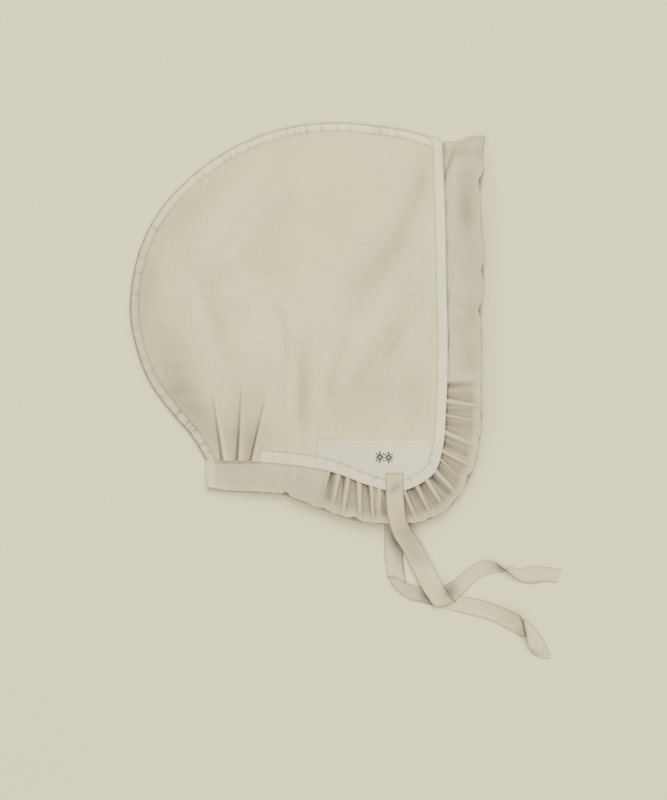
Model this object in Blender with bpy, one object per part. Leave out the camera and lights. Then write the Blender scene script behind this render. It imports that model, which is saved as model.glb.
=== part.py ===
"""Infirmary cap of white linen, lying folded on its side.

Two matching side panels meet in a curved crown seam, which a narrow binding covers. The face edge and the
neck edge are finished by a band that runs round both panels, and a ruffle is sewn on under it: flat at the
upper face and at the nape, and tightly gathered round the lower front corner. A patch strengthens that
corner, and a tape tie hangs from it on each side. The far panel lies flat, and the near one stands over it
as a low dome that is open at the face and the neck.

Lengths are in millimetres in the tables and in metres in the meshes. +X is the face side, +Y the top of the
head, +Z up from the surface. The origin is under the middle of the whole outline.
"""

import math

import bmesh
import bpy
import numpy as np

MM = 0.001

CLOTH = 1.0
GAP = 0.3
SEAM_HEIGHT = 3.6
DOME_HEIGHT = 37.0
DOME_REACH = 34.0
DOME_POWER = 1.4
RIM_REACH = 55.0

BAND_WIDTH = 7.0
BINDING_WIDTH = 6.3
BINDING_WALL = 1.0
SEAM_INSET = BINDING_WALL + GAP + 0.2
FOLD_DEPTH = 2.45
NAPE_BUTT = 8.2
TUCK_ROOM = 0.3
TIE_LIFT = CLOTH + GAP

LINEN = (0.63, 0.57, 0.46, 1.0)
PALE_LINEN = (0.70, 0.66, 0.56, 1.0)
RUFFLE_LINEN = (0.55, 0.49, 0.38, 1.0)
TAPE_LINEN = (0.66, 0.60, 0.49, 1.0)

# Crown seam, from the nape round the back and over the top to the face: x_mm, y_mm.
SEAM_STATIONS = (
    ("nape end", -98.4, -49.2),
    ("above nape", -109.2, -31.5),
    ("nape slope", -122.7, -15.9),
    ("slope end", -138.7, 6.7),
    ("low back", -147.6, 30.0),
    ("full back", -151.7, 51.6),
    ("back", -150.8, 74.0),
    ("high back", -143.7, 102.6),
    ("back crown", -131.2, 126.2),
    ("crown turn", -112.0, 147.6),
    ("crown rise", -85.5, 167.2),
    ("crown", -53.0, 181.6),
    ("crown top", -24.5, 187.4),
    ("top", -4.0, 188.2),
    ("top front", 20.0, 186.2),
    ("face slope", 46.0, 182.0),
    ("face fold", 67.2, 174.9),
)

# Rim where the ruffle is sewn on, from the fold at the top of the face down and back to the nape.
RIM_STATIONS = (
    ("face fold", 67.2, 174.9),
    ("upper face", 68.6, 130.0),
    ("middle face", 69.6, 75.0),
    ("lower face", 70.5, 32.8),
    ("cheek", 69.3, -14.0),
    ("corner start", 67.0, -40.3),
    ("corner", 61.4, -57.1),
    ("corner end", 50.2, -65.6),
    ("lowest", 34.8, -70.4),
    ("under patch", 19.2, -67.0),
    ("jaw", -9.9, -56.7),
    ("neck", -41.2, -51.5),
    ("nape end", -98.4, -49.2),
)

# Height of the open rim over the crown seam: along_mm from the face fold, rise_mm.
RIM_RISE = (
    (0.0, 24.0),
    (60.0, 28.0),
    (140.0, 27.0),
    (205.0, 23.0),
    (264.0, 18.0),
    (310.0, 15.0),
    (350.0, 10.0),
    (400.0, 7.0),
)

# Tucks at the nape: root on the rim, top end, half width and depth at the rim.
TUCKS = (
    # name, root_x, root_y, top_x, top_y, half_width, depth
    ("rear tuck", -87.0, -49.0, -93.8, -1.3, 2.7, 1.7),
    ("middle tuck", -77.7, -49.0, -75.6, -7.1, 2.7, 1.8),
    ("front tuck", -67.0, -49.0, -57.0, -6.7, 2.7, 1.8),
)

# Soft folds in the near panel: the ends of each fold's line, its half width, and its height (a dent is negative).
SOFT_FOLDS = (
    # name, from_x, from_y, to_x, to_y, half_width, height
    ("crown dent", -62.0, 124.0, -38.0, 70.0, 19.0, -3.0),
    ("crown ridge", -34.0, 140.0, -96.0, 78.0, 10.0, 2.2),
    ("back dent", -97.0, 76.0, -88.0, 22.0, 9.0, -2.6),
    ("side bulge", -70.0, 58.0, -68.0, 20.0, 14.0, 2.6),
    ("side crease", -50.0, 66.0, -41.0, 18.0, 6.0, -2.2),
    ("neck crease", -31.5, 30.0, -31.5, -34.0, 4.5, -2.2),
    ("neck ridge", -39.0, 24.0, -40.0, -32.0, 4.0, 1.2),
    ("face dent", 50.0, 156.0, 2.0, 56.0, 13.0, -3.4),
    ("jaw dent", 0.0, 50.0, -11.0, -8.0, 6.0, -1.8),
    ("face ridge", 52.0, 108.0, 8.0, 26.0, 9.0, 2.4),
    ("cheek dent", 50.0, 72.0, 6.0, -6.0, 8.0, -2.6),
    ("cheek ridge", 54.0, 26.0, 2.0, -12.0, 8.0, 1.4),
    ("nape dent", -126.0, 4.0, -106.0, 0.0, 9.0, -2.4),
)

# Ruffle sections from the face fold to the nape. Each gathered row is the crest of one fold.
RUFFLE_SECTIONS = (
    # name, along_mm, hem_x, hem_y, hem_z, crest_mm
    ("fold", 0.0, 96.9, 176.2, 7.5, 0.0),
    ("fold curl", 3.7, 95.8, 171.0, 9.0, 0.0),
    ("nick", 15.0, 94.8, 160.8, 11.5, 0.0),
    ("first wave", 18.7, 96.2, 155.8, 12.5, 0.4),
    ("second hollow", 28.1, 94.0, 146.0, 14.0, 0.0),
    ("upper face", 49.5, 93.7, 125.0, 16.5, 0.3),
    ("middle face", 77.0, 95.8, 98.1, 17.5, -0.3),
    ("wave", 103.4, 95.6, 71.3, 17.0, 0.5),
    ("hollow", 122.8, 93.9, 52.2, 16.0, -0.4),
    ("lower face", 142.1, 94.4, 31.9, 16.0, 0.4),
    ("gather a", 167.5, 94.1, 7.0, 16.0, 2.0),
    ("gather b", 183.1, 94.3, -10.0, 15.5, 2.2),
    ("gather c", 192.3, 94.7, -21.3, 15.0, 1.4),
    ("gather d", 203.3, 92.1, -38.8, 14.6, 2.4),
    ("gather e", 214.0, 89.1, -53.8, 14.0, 2.4),
    ("gather f", 222.2, 85.2, -62.6, 13.4, 1.6),
    ("gather g", 231.1, 79.0, -73.0, 13.0, 2.4),
    ("gather h", 240.3, 70.5, -83.3, 12.5, 2.4),
    ("gather i", 247.6, 61.1, -88.4, 12.1, 2.2),
    ("gather j", 257.0, 50.9, -92.0, 11.8, 2.4),
    ("under tie", 265.6, 36.8, -92.9, 11.5, 1.2),
    ("gather k", 273.6, 27.0, -92.9, 11.2, 1.8),
    ("gather l", 281.0, 19.4, -92.6, 11.0, 2.2),
    ("gather m", 290.6, 10.2, -91.4, 10.8, 2.2),
    ("gather n", 298.8, -1.9, -88.2, 10.6, 2.2),
    ("gather o", 305.5, -10.3, -85.0, 10.3, 1.8),
    ("gather p", 312.3, -18.7, -82.2, 10.0, 2.0),
    ("neck slope", 324.0, -30.3, -77.7, 9.5, 0.2),
    ("neck hollow", 338.0, -42.9, -73.0, 8.8, -0.4),
    ("neck", 363.8, -64.9, -70.7, 7.4, 0.3),
    ("nape", 382.9, -82.1, -70.1, 6.2, 0.0),
    ("nape end", 399.6, -97.4, -67.9, 5.2, 0.0),
)

FOLD_RISE = 2.3
TIE_HEM_HEIGHT = 11.5
HEM_PEEK = 1.5
FAR_WAVE = 0.55

# Corner patch: left edge, top edge and how far its lower ends lie inside the rim.
PATCH_LEFT = -20.0
PATCH_TOP = -33.2

# Each tie as rows of its two edges, in plan and the height of its middle. Heights are from the surface that the
# cap lies on, or in rows of its own where over is 1 from the near panel, and where it is 2 from the near ruffle.
NEAR_TIE_ROWS = (
    # left_x, left_y, left_z, right_x, right_y, right_z, over
    (27.5, -57.6, 2.3, 39.8, -57.6, 2.3, 1),
    (27.5, -63.5, 2.3, 39.8, -63.7, 2.3, 1),
    (27.6, -69.6, 2.5, 39.9, -70.0, 2.5, 1),
    (27.9, -77.0, 4.2, 40.4, -77.5, 4.2, 2),
    (28.8, -86.5, 4.3, 41.4, -86.5, 4.3, 2),
    (30.5, -94.0, 4.2, 43.5, -93.5, 4.2, 2),
    (33.6, -102.5, 8.6, 47.8, -100.3, 8.6, 0),
    (38.6, -110.5, 4.0, 52.4, -107.0, 4.0, 0),
    (46.7, -126.5, 3.2, 59.8, -121.0, 3.2, 0),
    (54.2, -140.5, 4.7, 66.6, -133.8, 4.6, 0),
    (58.9, -147.1, 5.0, 71.6, -140.6, 5.0, 0),
    # crease, where the tape turns under itself
    (60.8, -149.4, 4.7, 74.2, -144.4, 4.6, 0),
    (61.8, -150.6, 3.4, 75.4, -146.2, 3.4, 0),
    (61.2, -149.6, 2.1, 74.8, -145.2, 2.1, 0),
    # tail, lying to the right
    (63.2, -140.8, 2.1, 76.2, -143.2, 2.1, 0),
    (69.4, -136.2, 2.1, 78.4, -143.4, 2.1, 0),
    (77.5, -131.6, 1.7, 82.4, -142.0, 1.7, 0),
    (86.9, -123.8, 0.9, 89.3, -134.6, 0.9, 0),
    (98.2, -119.4, 1.8, 98.5, -129.4, 0.6, 0),
    (105.6, -120.8, 5.4, 104.6, -127.0, 0.7, 0),
    # half twist
    (111.6, -125.6, 8.6, 109.6, -124.0, 0.8, 0),
    (116.8, -130.4, 5.4, 115.4, -123.3, 0.7, 0),
    (123.6, -133.6, 1.6, 123.0, -123.8, 0.6, 0),
    (132.4, -135.2, 0.6, 133.8, -123.3, 0.6, 0),
    (140.4, -134.4, 0.6, 144.0, -124.6, 0.6, 0),
    (147.9, -134.4, 0.6, 151.6, -126.0, 0.6, 0),
)
FAR_TIE_ROWS = (
    # left_x, left_y, left_z, right_x, right_y, right_z
    (26.9, -63.0, 0.5, 39.2, -63.0, 0.5),
    (26.9, -78.0, 0.5, 39.3, -78.0, 0.5),
    (26.9, -92.0, 0.5, 39.4, -92.6, 0.5),
    (26.8, -104.0, 0.5, 39.5, -106.5, 0.5),
    (27.0, -114.0, 0.5, 39.9, -121.0, 0.5),
    (27.3, -121.6, 0.5, 40.4, -133.6, 0.5),
    # crease, where the tape turns over itself
    (27.8, -126.0, 0.7, 41.0, -141.8, 0.7),
    (28.2, -128.6, 1.8, 41.8, -144.6, 1.6),
    (29.8, -128.0, 2.9, 43.4, -144.4, 2.5),
    # tail, lying to the right
    (37.5, -133.0, 2.5, 48.8, -146.4, 1.7),
    (51.3, -138.0, 0.8, 58.0, -150.2, 0.6),
    (66.0, -141.0, 0.5, 68.2, -152.4, 0.5),
    (80.4, -144.2, 0.5, 80.2, -155.6, 0.5),
    (95.4, -147.2, 1.0, 98.5, -160.2, 0.7),
    (109.5, -152.0, 3.6, 112.4, -166.6, 0.8),
    (121.6, -157.8, 6.6, 120.8, -170.6, 2.2),
    (127.6, -162.0, 5.2, 126.0, -174.2, 2.8),
    (133.8, -168.6, 2.2, 128.2, -178.6, 1.0),
    (139.4, -177.1, 1.8, 131.6, -182.8, 0.6),
    (141.8, -183.7, 3.8, 137.0, -185.8, 0.7),
    (142.7, -186.2, 5.2, 142.2, -187.6, 0.9),
)


def smooth_curve(points, per_span):
    """Smooth curve through points: a cubic between each two, its end slopes taken from the spacing."""
    p = np.array(points, dtype=float)
    q = np.vstack([2 * p[0] - p[1], p, 2 * p[-1] - p[-2]])
    t = np.linspace(0.0, 1.0, per_span, endpoint=False)[:, None]
    h00, h10 = 2 * t**3 - 3 * t**2 + 1, t**3 - 2 * t**2 + t
    h01, h11 = -2 * t**3 + 3 * t**2, t**3 - t**2
    spans = []
    for a, b, c, d in zip(q[:-3], q[1:-2], q[2:-1], q[3:]):
        la, lb, lc = (np.linalg.norm(v) + 1e-9 for v in (b - a, c - b, d - c))
        start = ((b - a) / la * lb + (c - b) / lb * la) / (la + lb) * lb
        end = ((c - b) / lb * lc + (d - c) / lc * lb) / (lb + lc) * lb
        spans.append(h00 * b + h10 * start + h01 * c + h11 * end)
    return np.vstack(spans + [p[-1:]])


def arc_lengths(curve):
    """Distance along the curve to each of its points."""
    return np.r_[0.0, np.cumsum(np.linalg.norm(np.diff(curve, axis=0), axis=1))]


def at_arc(curve, along):
    """Points of the curve at the given distances along it."""
    s = arc_lengths(curve)
    return np.stack([np.interp(along, s, curve[:, k]) for k in range(curve.shape[1])], axis=-1)


def side_normals(curve):
    """Unit normals of a plan curve, to the right of the way it runs."""
    d = np.gradient(curve, axis=0)
    d /= np.linalg.norm(d, axis=1, keepdims=True)
    return np.stack([d[:, 1], -d[:, 0]], axis=-1)


SEAM = smooth_curve([row[1:] for row in SEAM_STATIONS], 16)
RIM = smooth_curve([row[1:] for row in RIM_STATIONS], 24)
RIM_LENGTH = arc_lengths(RIM)[-1]
SEAM_IN = side_normals(SEAM)
RIM_IN = side_normals(RIM)


def soft_step(value, low, high):
    """0 below low, 1 above high, smooth between."""
    t = np.clip((value - low) / (high - low), 0.0, 1.0)
    return t * t * (3 - 2 * t)


def spread_distance(xy, curve, values=None):
    """Smooth distance to a curve, and the mean of values on it weighted to its nearest parts.

    The distance is (2/pi times the sum of step / d**4) ** (-1/3), which is the plain distance beside a
    straight line, and has no crease midway between two sides.
    """
    middle = (curve[1:] + curve[:-1]) / 2
    step = np.linalg.norm(np.diff(curve, axis=0), axis=1)
    d2 = ((xy[:, None, :] - middle[None, :, :]) ** 2).sum(axis=2) + 0.5
    weight = step[None, :] / d2**2
    total = weight.sum(axis=1)
    far = (total * 2 / math.pi) ** (-1.0 / 3.0)
    a, b = curve[:-1], curve[1:]
    ab = b - a
    t = ((xy[:, None, :] - a[None]) * ab[None]).sum(axis=2) / (ab**2).sum(axis=1)[None]
    foot = a[None] + np.clip(t, 0, 1)[..., None] * ab[None]
    near = np.sqrt(((xy[:, None, :] - foot) ** 2).sum(axis=2).min(axis=1))
    blend = soft_step(near, 3.0, 12.0)
    distance = near * (1 - blend) + far * blend
    if values is None:
        return distance, None
    mid_values = (values[1:] + values[:-1]) / 2
    return distance, (weight * mid_values[None, :]).sum(axis=1) / total


def fold_line(xy, row):
    """A soft fold: a bell across its line, fading out at both ends."""
    _, ax, ay, bx, by, half, height = row
    a, ab = np.array([ax, ay]), np.array([bx - ax, by - ay])
    t = ((xy - a) @ ab) / (ab @ ab)
    foot = a + np.clip(t, 0.0, 1.0)[:, None] * ab
    d = np.linalg.norm(xy - foot, axis=1)
    ends = 0.35 + 0.65 * np.sin(np.clip(t, 0.0, 1.0) * math.pi) ** 0.7
    return height * ends * np.exp(-((d / half) ** 2))


def tuck_line(xy, row):
    """A tuck: a narrow valley with a ridge beside it, deepest at the rim and closing upwards."""
    _, rx, ry, tx, ty, half, depth = row
    up = np.clip((xy[:, 1] - ry) / (ty - ry), -0.1, 1.0)
    middle = rx + (tx - rx) * np.clip(up, 0.0, 1.0)
    d = xy[:, 0] - middle
    fade = (1 - np.clip(up, 0.0, 1.0)) ** 0.8
    valley = np.exp(-((d / half) ** 2))
    ridge = np.exp(-(((d - 1.9 * half) / (1.25 * half)) ** 2))
    return depth * fade * (0.75 * ridge - valley)


def near_top(x, y):
    """Height of the near panel's upper face over the plan point.

    It is the seam height, plus 1 - exp(-(distance from the seam / reach) ** power) of the height that the
    cloth takes there: the open rim's rise close to the rim, and the dome's towards the middle.
    """
    shape = np.broadcast(x, y).shape
    xy = np.stack([np.broadcast_to(x, shape).ravel(), np.broadcast_to(y, shape).ravel()], axis=-1)
    rise = np.interp(arc_lengths(RIM), [r[0] for r in RIM_RISE], [r[1] for r in RIM_RISE])
    from_seam, _ = spread_distance(xy, SEAM)
    from_rim, rim_rise = spread_distance(xy, RIM, rise)
    inner = 1 - np.exp(-from_rim / RIM_REACH)
    lifted = 1 - np.exp(-((from_seam / DOME_REACH) ** DOME_POWER))
    z = SEAM_HEIGHT + lifted * (rim_rise * (1 - inner) + DOME_HEIGHT * inner)
    folds = sum(fold_line(xy, row) for row in SOFT_FOLDS)
    z = z + folds * soft_step(from_seam, 8.0, 26.0) * soft_step(from_rim, 4.0, 22.0)
    z = z + sum(tuck_line(xy, row) for row in TUCKS) * soft_step(from_seam, 3.0, 10.0)
    return z.reshape(shape)


def tie_lift(x, y, margin):
    """How far the far layers rise, from 0 to 1, to pass over the far tie's sewn end with a margin round it."""
    across = soft_step(x, 17.5 - margin, 26.0 - margin) * (1 - soft_step(x, 40.2 + margin, 48.7 + margin))
    return across * (1 - soft_step(y, -62.0 + margin, -53.0 + margin))


def far_bottom(x, y):
    """Height of the far panel's underside: it lies flat, and rises over the band, the binding and the tie."""
    xy = np.stack([x.ravel(), y.ravel()], axis=-1)
    from_seam, _ = spread_distance(xy, SEAM)
    from_rim, _ = spread_distance(xy, RIM)
    over = np.maximum(1 - soft_step(from_seam, 10.0, 21.0), 1 - soft_step(from_rim, 10.0, 21.0))
    return (over * (CLOTH + GAP)).reshape(x.shape) + tie_lift(x, y, 5.0) * TIE_LIFT


def grid_normals(grid):
    """Unit normals of a grid of points, along its rows crossed with across them."""
    along, across = np.gradient(grid, axis=0), np.gradient(grid, axis=1)
    n = np.cross(along, across)
    return n / (np.linalg.norm(n, axis=2, keepdims=True) + 1e-12)


def upward(normals):
    """The same normals, each turned to point up."""
    return normals * np.where(normals[..., 2:] < 0, -1.0, 1.0)


def cloth_material(name, colour, roughness):
    """A plain woven cloth."""
    material = bpy.data.materials.new(name)
    material.use_nodes = True
    shader = next(n for n in material.node_tree.nodes if n.type == "BSDF_PRINCIPLED")
    shader.inputs["Base Color"].default_value = colour
    shader.inputs["Roughness"].default_value = roughness
    shader.inputs["Metallic"].default_value = 0.0
    material.diffuse_color = colour
    return material


def add_object(name, mesh_bm, material):
    """Makes one smooth object from a bmesh, faces pointing out, linked to the scene."""
    bmesh.ops.remove_doubles(mesh_bm, verts=mesh_bm.verts, dist=0.00001)
    bmesh.ops.recalc_face_normals(mesh_bm, faces=mesh_bm.faces)
    mesh = bpy.data.meshes.new(name)
    mesh_bm.to_mesh(mesh)
    mesh_bm.free()
    mesh.materials.append(material)
    mesh.shade_smooth()
    mesh.set_sharp_from_angle(angle=math.radians(50))
    obj = bpy.data.objects.new(name, mesh)
    bpy.context.scene.collection.objects.link(obj)
    return obj


def cloth_shell(name, upper, lower, material):
    """A wall of cloth between two grids of points in mm, closed along its four edges."""
    rows, cols = upper.shape[:2]
    bm = bmesh.new()
    top = [[bm.verts.new(p * MM) for p in row] for row in upper]
    low = [[bm.verts.new(p * MM) for p in row] for row in lower]
    for i in range(rows - 1):
        for j in range(cols - 1):
            bm.faces.new((top[i][j], top[i + 1][j], top[i + 1][j + 1], top[i][j + 1]))
            bm.faces.new((low[i][j], low[i][j + 1], low[i + 1][j + 1], low[i + 1][j]))
    edge = [(i, 0) for i in range(rows)] + [(rows - 1, j) for j in range(1, cols)]
    edge += [(i, cols - 1) for i in range(rows - 2, -1, -1)] + [(0, j) for j in range(cols - 2, 0, -1)]
    for (i, j), (k, m) in zip(edge, edge[1:] + edge[:1]):
        bm.faces.new((top[i][j], low[i][j], low[k][m], top[k][m]))
    return add_object(name, bm, material)


def swept_section(name, sections, caps, material):
    """A solid swept through closed sections, one row of points in mm for each; caps are its end faces."""
    bm = bmesh.new()
    rings = [[bm.verts.new(p * MM) for p in section] for section in sections]
    count = len(rings[0])
    for a, b in zip(rings, rings[1:]):
        for k in range(count):
            m = (k + 1) % count
            bm.faces.new((a[k], a[m], b[m], b[k]))
    for ring in (rings[0], rings[-1]):
        for cap in caps:
            bm.faces.new([ring[k] for k in cap])
    return add_object(name, bm, material)


def panel_outline():
    """The panel's own edge in plan: the seam and the rim, each moved inwards, meeting at fold and nape."""
    seam = SEAM + SEAM_IN * SEAM_INSET
    rim = RIM + RIM_IN * GAP

    def meeting(corner, n1, d1, n2, d2):
        return corner + np.linalg.solve(np.stack([n1, n2]), np.array([d1, d2]))

    nape = meeting(SEAM[0], SEAM_IN[0], SEAM_INSET, RIM_IN[-1], GAP)
    fold = meeting(SEAM[-1], SEAM_IN[-1], SEAM_INSET, RIM_IN[0], GAP)
    for curve, start, end in ((seam, nape, fold), (rim, fold, nape)):
        s = arc_lengths(curve)
        shift_start, shift_end = start - curve[0], end - curve[-1]
        curve += np.exp(-s / 4.0)[:, None] * shift_start
        curve += np.exp(-(s[-1] - s) / 4.0)[:, None] * shift_end
        curve[0], curve[-1] = start, end
    return seam, rim


def panel_grid(columns, rows):
    """Plan grid of a side panel: columns run up from the lower edge to the crown, rows forward to the face.

    The four sides are the low seam with the neck rim, the crown, a short stretch of the back seam, and the
    face rim, blended as a Coons patch.
    """
    seam, rim = panel_outline()
    seam_s, rim_s = arc_lengths(seam), arc_lengths(rim)
    back = int(np.argmin(seam[:, 0]))
    low_back, high_back = seam_s[back] - 11.0, seam_s[back] + 11.0
    corner = rim_s[int(np.argmin(np.linalg.norm(rim - np.array([61.4, -57.1]), axis=1)))]
    dense = np.linspace(0.0, 1.0, 400)
    lower = np.vstack([at_arc(seam, low_back * (1 - dense)), at_arc(rim, rim_s[-1] + (corner - rim_s[-1]) * dense)[1:]])
    crown = at_arc(seam, high_back + (seam_s[-1] - high_back) * dense)
    low = np.stack([np.interp(lower[0, 0] + (lower[-1, 0] - lower[0, 0]) * columns, lower[:, 0], lower[:, k]) for k in (0, 1)], -1)
    top = np.stack([np.interp(crown[0, 0] + (crown[-1, 0] - crown[0, 0]) * columns, crown[:, 0], crown[:, k]) for k in (0, 1)], -1)
    left = at_arc(seam, low_back + (high_back - low_back) * rows)
    right = at_arc(rim, corner * (1 - rows))
    a, b = columns[:, None, None], rows[None, :, None]
    corners = (1 - a) * (1 - b) * low[0] + a * (1 - b) * low[-1] + (1 - a) * b * top[0] + a * b * top[-1]
    return (1 - b) * low[:, None] + b * top[:, None] + (1 - a) * left[None] + a * right[None] - corners


def spread(*spans):
    """Fractions from 0 to 1 made of spans, each given as its end and the number of steps to it."""
    out, start = [0.0], 0.0
    for end, steps in spans:
        out += list(np.linspace(start, end, steps + 1)[1:])
        start = end
    return np.array(out)


def make_near_panel(material):
    """The upper side panel, a low dome with tucks at the nape and soft folds."""
    columns = spread((0.25, 7), (0.45, 20), (0.93, 12), (1.0, 4))
    rows = spread((0.06, 2), (0.36, 5), (0.86, 4), (1.0, 6))
    plan = panel_grid(columns, rows)
    upper = np.dstack([plan, near_top(plan[..., 0], plan[..., 1])])
    lower = upper - upward(grid_normals(upper)) * CLOTH
    lower[..., :2] = plan * 0.4 + lower[..., :2] * 0.6
    return cloth_shell("near_side_panel", upper, lower, material)


def make_far_panel(material):
    """The lower side panel, flat on the surface and raised round its edge over the band and the binding."""
    columns = spread((0.10, 4), (0.90, 18), (1.0, 4))
    rows = spread((0.16, 5), (0.84, 6), (1.0, 5))
    plan = panel_grid(columns, rows)
    bottom = far_bottom(plan[..., 0], plan[..., 1])
    return cloth_shell("far_side_panel", np.dstack([plan, bottom + CLOTH]), np.dstack([plan, bottom]), material)


def at_seam(both, along):
    """Points of the seam and its unit inward directions at distances along it."""
    s = arc_lengths(both[:, :2])
    rows = np.stack([np.interp(along, s, both[:, k]) for k in range(4)], axis=-1)
    return rows[:, :2], rows[:, 2:] / np.linalg.norm(rows[:, 2:], axis=1, keepdims=True)


def make_binding(material):
    """The seam binding: a narrow strip folded over the edges of both panels, from the nape to the edge band."""
    s = arc_lengths(SEAM)
    along = np.linspace(0.4, s[-1] - BAND_WIDTH - 1.6, 58)
    both = np.hstack([SEAM, SEAM_IN])
    base, inward = at_seam(both, along)
    level = np.exp(-((along / 10.0) ** 2))[:, None]
    inward = inward + level * (np.array([1.17, 0.0]) - inward)

    def line(offset, height):
        return np.column_stack([base + inward * offset, height])

    def over(offset, rise):
        p = base + inward * offset
        return line(offset, near_top(p[:, 0], p[:, 1]) + rise)

    flat = np.zeros(len(along))
    clear, wall = GAP + 0.12, CLOTH + 0.15
    ring = [
        line(0.0, flat), line(BINDING_WIDTH, flat), line(BINDING_WIDTH, flat + CLOTH), line(BINDING_WALL, flat + CLOTH),
        over(BINDING_WALL, clear), over(3.4, clear), over(BINDING_WIDTH, clear),
        over(BINDING_WIDTH, clear + wall), over(3.2, clear + wall), over(0.8, clear + wall),
        line(0.0, near_top(base[:, 0] + inward[:, 0], base[:, 1] + inward[:, 1]) + clear + 0.5 * wall),
    ]
    caps = ((0, 1, 2, 3), (0, 3, 4, 10), (10, 4, 9), (4, 5, 8, 9), (5, 6, 7, 8))
    return swept_section("crown_seam_binding", np.stack(ring, axis=1), caps, material)


def rim_frame(along):
    """Plan points on the rim and unit inward directions, turned along the crown at the fold."""
    point, inward = at_seam(np.hstack([RIM, RIM_IN]), along)
    slant = np.exp(-((along / 9.0) ** 2))[:, None]
    nape = np.exp(-(((RIM_LENGTH - NAPE_BUTT - along) / 9.0) ** 2))[:, None]
    return point, inward + slant * np.array([0.0, 0.40]) + nape * np.array([-0.62, 0.0])


def round_fold(near_row, far_row, depth, steps):
    """Rows that carry a strip over the top fold, from its near layer round to its far layer."""
    middle, half = (near_row + far_row) / 2, (near_row - far_row) / 2
    out = []
    for k in range(1, steps):
        turn = math.pi * k / steps
        row = middle + half * math.cos(turn)
        row[:, 1] += depth * math.sin(turn)
        out.append(row)
    return out


def make_edge_band(material):
    """The edge band: a strip along the near rim, over the top fold and back along the far rim."""
    near_along = np.r_[np.linspace(RIM_LENGTH - NAPE_BUTT, 345.0, 20), np.linspace(342.0, 262.0, 15), np.linspace(258.0, 204.0, 15),
                       np.linspace(198.0, 62.0, 10), np.linspace(55.0, 13.0, 8), (9.0, 5.5, 2.4)]
    far_along = np.r_[(2.2, 5.0, 10.0), np.linspace(20.0, 198.0, 9), np.linspace(206.0, 258.0, 10),
                      np.linspace(263.0, RIM_LENGTH - NAPE_BUTT, 15)]
    offsets = np.array([0.0, 2.4, 4.7, BAND_WIDTH])

    def layer(along):
        point, inward = rim_frame(along)
        return point[:, None] + inward[:, None] * offsets[None, :, None]

    plan = layer(near_along)
    surface = np.dstack([plan, near_top(plan[..., 0], plan[..., 1])])
    rise = upward(grid_normals(surface))
    tucked = soft_step(near_along, 322.0, 334.0)[:, None, None] * TUCK_ROOM
    off = GAP + CLOTH / 2 + tucked
    near = surface + rise * off
    near[:, 0, :2] = plan[:, 0]
    near[:, 0, 2] = surface[:, 0, 2] + off[:, 0, 0] / rise[:, 0, 2]
    plan = layer(far_along)
    far = np.dstack([plan, tie_lift(plan[..., 0], plan[..., 1], 0.6) * TIE_LIFT + CLOTH / 2])
    depth = FOLD_DEPTH - CLOTH / 2
    shift = np.array([0.0, depth, 0.0])
    turn = round_fold(near[-1] + (at_fold(near[-1]) - shift), far[0] + (at_fold(far[0]) - shift), depth, 8)
    grid = np.stack([*near, near[-1] + (at_fold(near[-1]) - shift), *turn, far[0] + (at_fold(far[0]) - shift), *far])
    normal = grid_normals(grid)
    if normal[0, 1, 2] < 0:
        normal = -normal
    return cloth_shell("edge_band", grid + normal * CLOTH / 2, grid - normal * CLOTH / 2, material)


def at_fold(row):
    """The move along +Y that carries a row of band points, near the fold, on to the fold's own line."""
    fold = RIM[0] + np.outer((RIM[0, 0] - row[:, 0]), np.array([-1.0, 0.40]))
    move = np.zeros_like(row)
    move[:, 1] = fold[:, 1] - row[:, 1]
    return move


def ruffle_section(along):
    """Hem points, hem heights and crest heights at distances along the rim, through the table's sections."""
    table = np.array([row[1:] for row in RUFFLE_SECTIONS])
    curve = smooth_curve(table, 12)
    return np.stack([np.interp(along, curve[:, 0], curve[:, k]) for k in (1, 2, 3)], axis=-1)


def gathers(along):
    """Height of the gathers at distances along the rim: one crest for each row, and a valley between two."""
    rows = [(row[1], row[5]) for row in RUFFLE_SECTIONS if row[5] > 1.0]
    centres = np.array([r[0] for r in rows])
    crests = np.array([r[1] for r in rows])
    half = np.minimum(np.gradient(centres) * 0.5, 5.0)
    value = np.zeros_like(along)
    for centre, crest, width in zip(centres, crests, half):
        d = np.clip(np.abs(along - centre) / width, 0.0, 1.0)
        value += crest * (0.5 + 0.5 * np.cos(math.pi * d))
    zone = soft_step(along, centres[0] - 6.0, centres[0]) * (1 - soft_step(along, centres[-1], centres[-1] + 7.0))
    return value - 1.1 * zone


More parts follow.
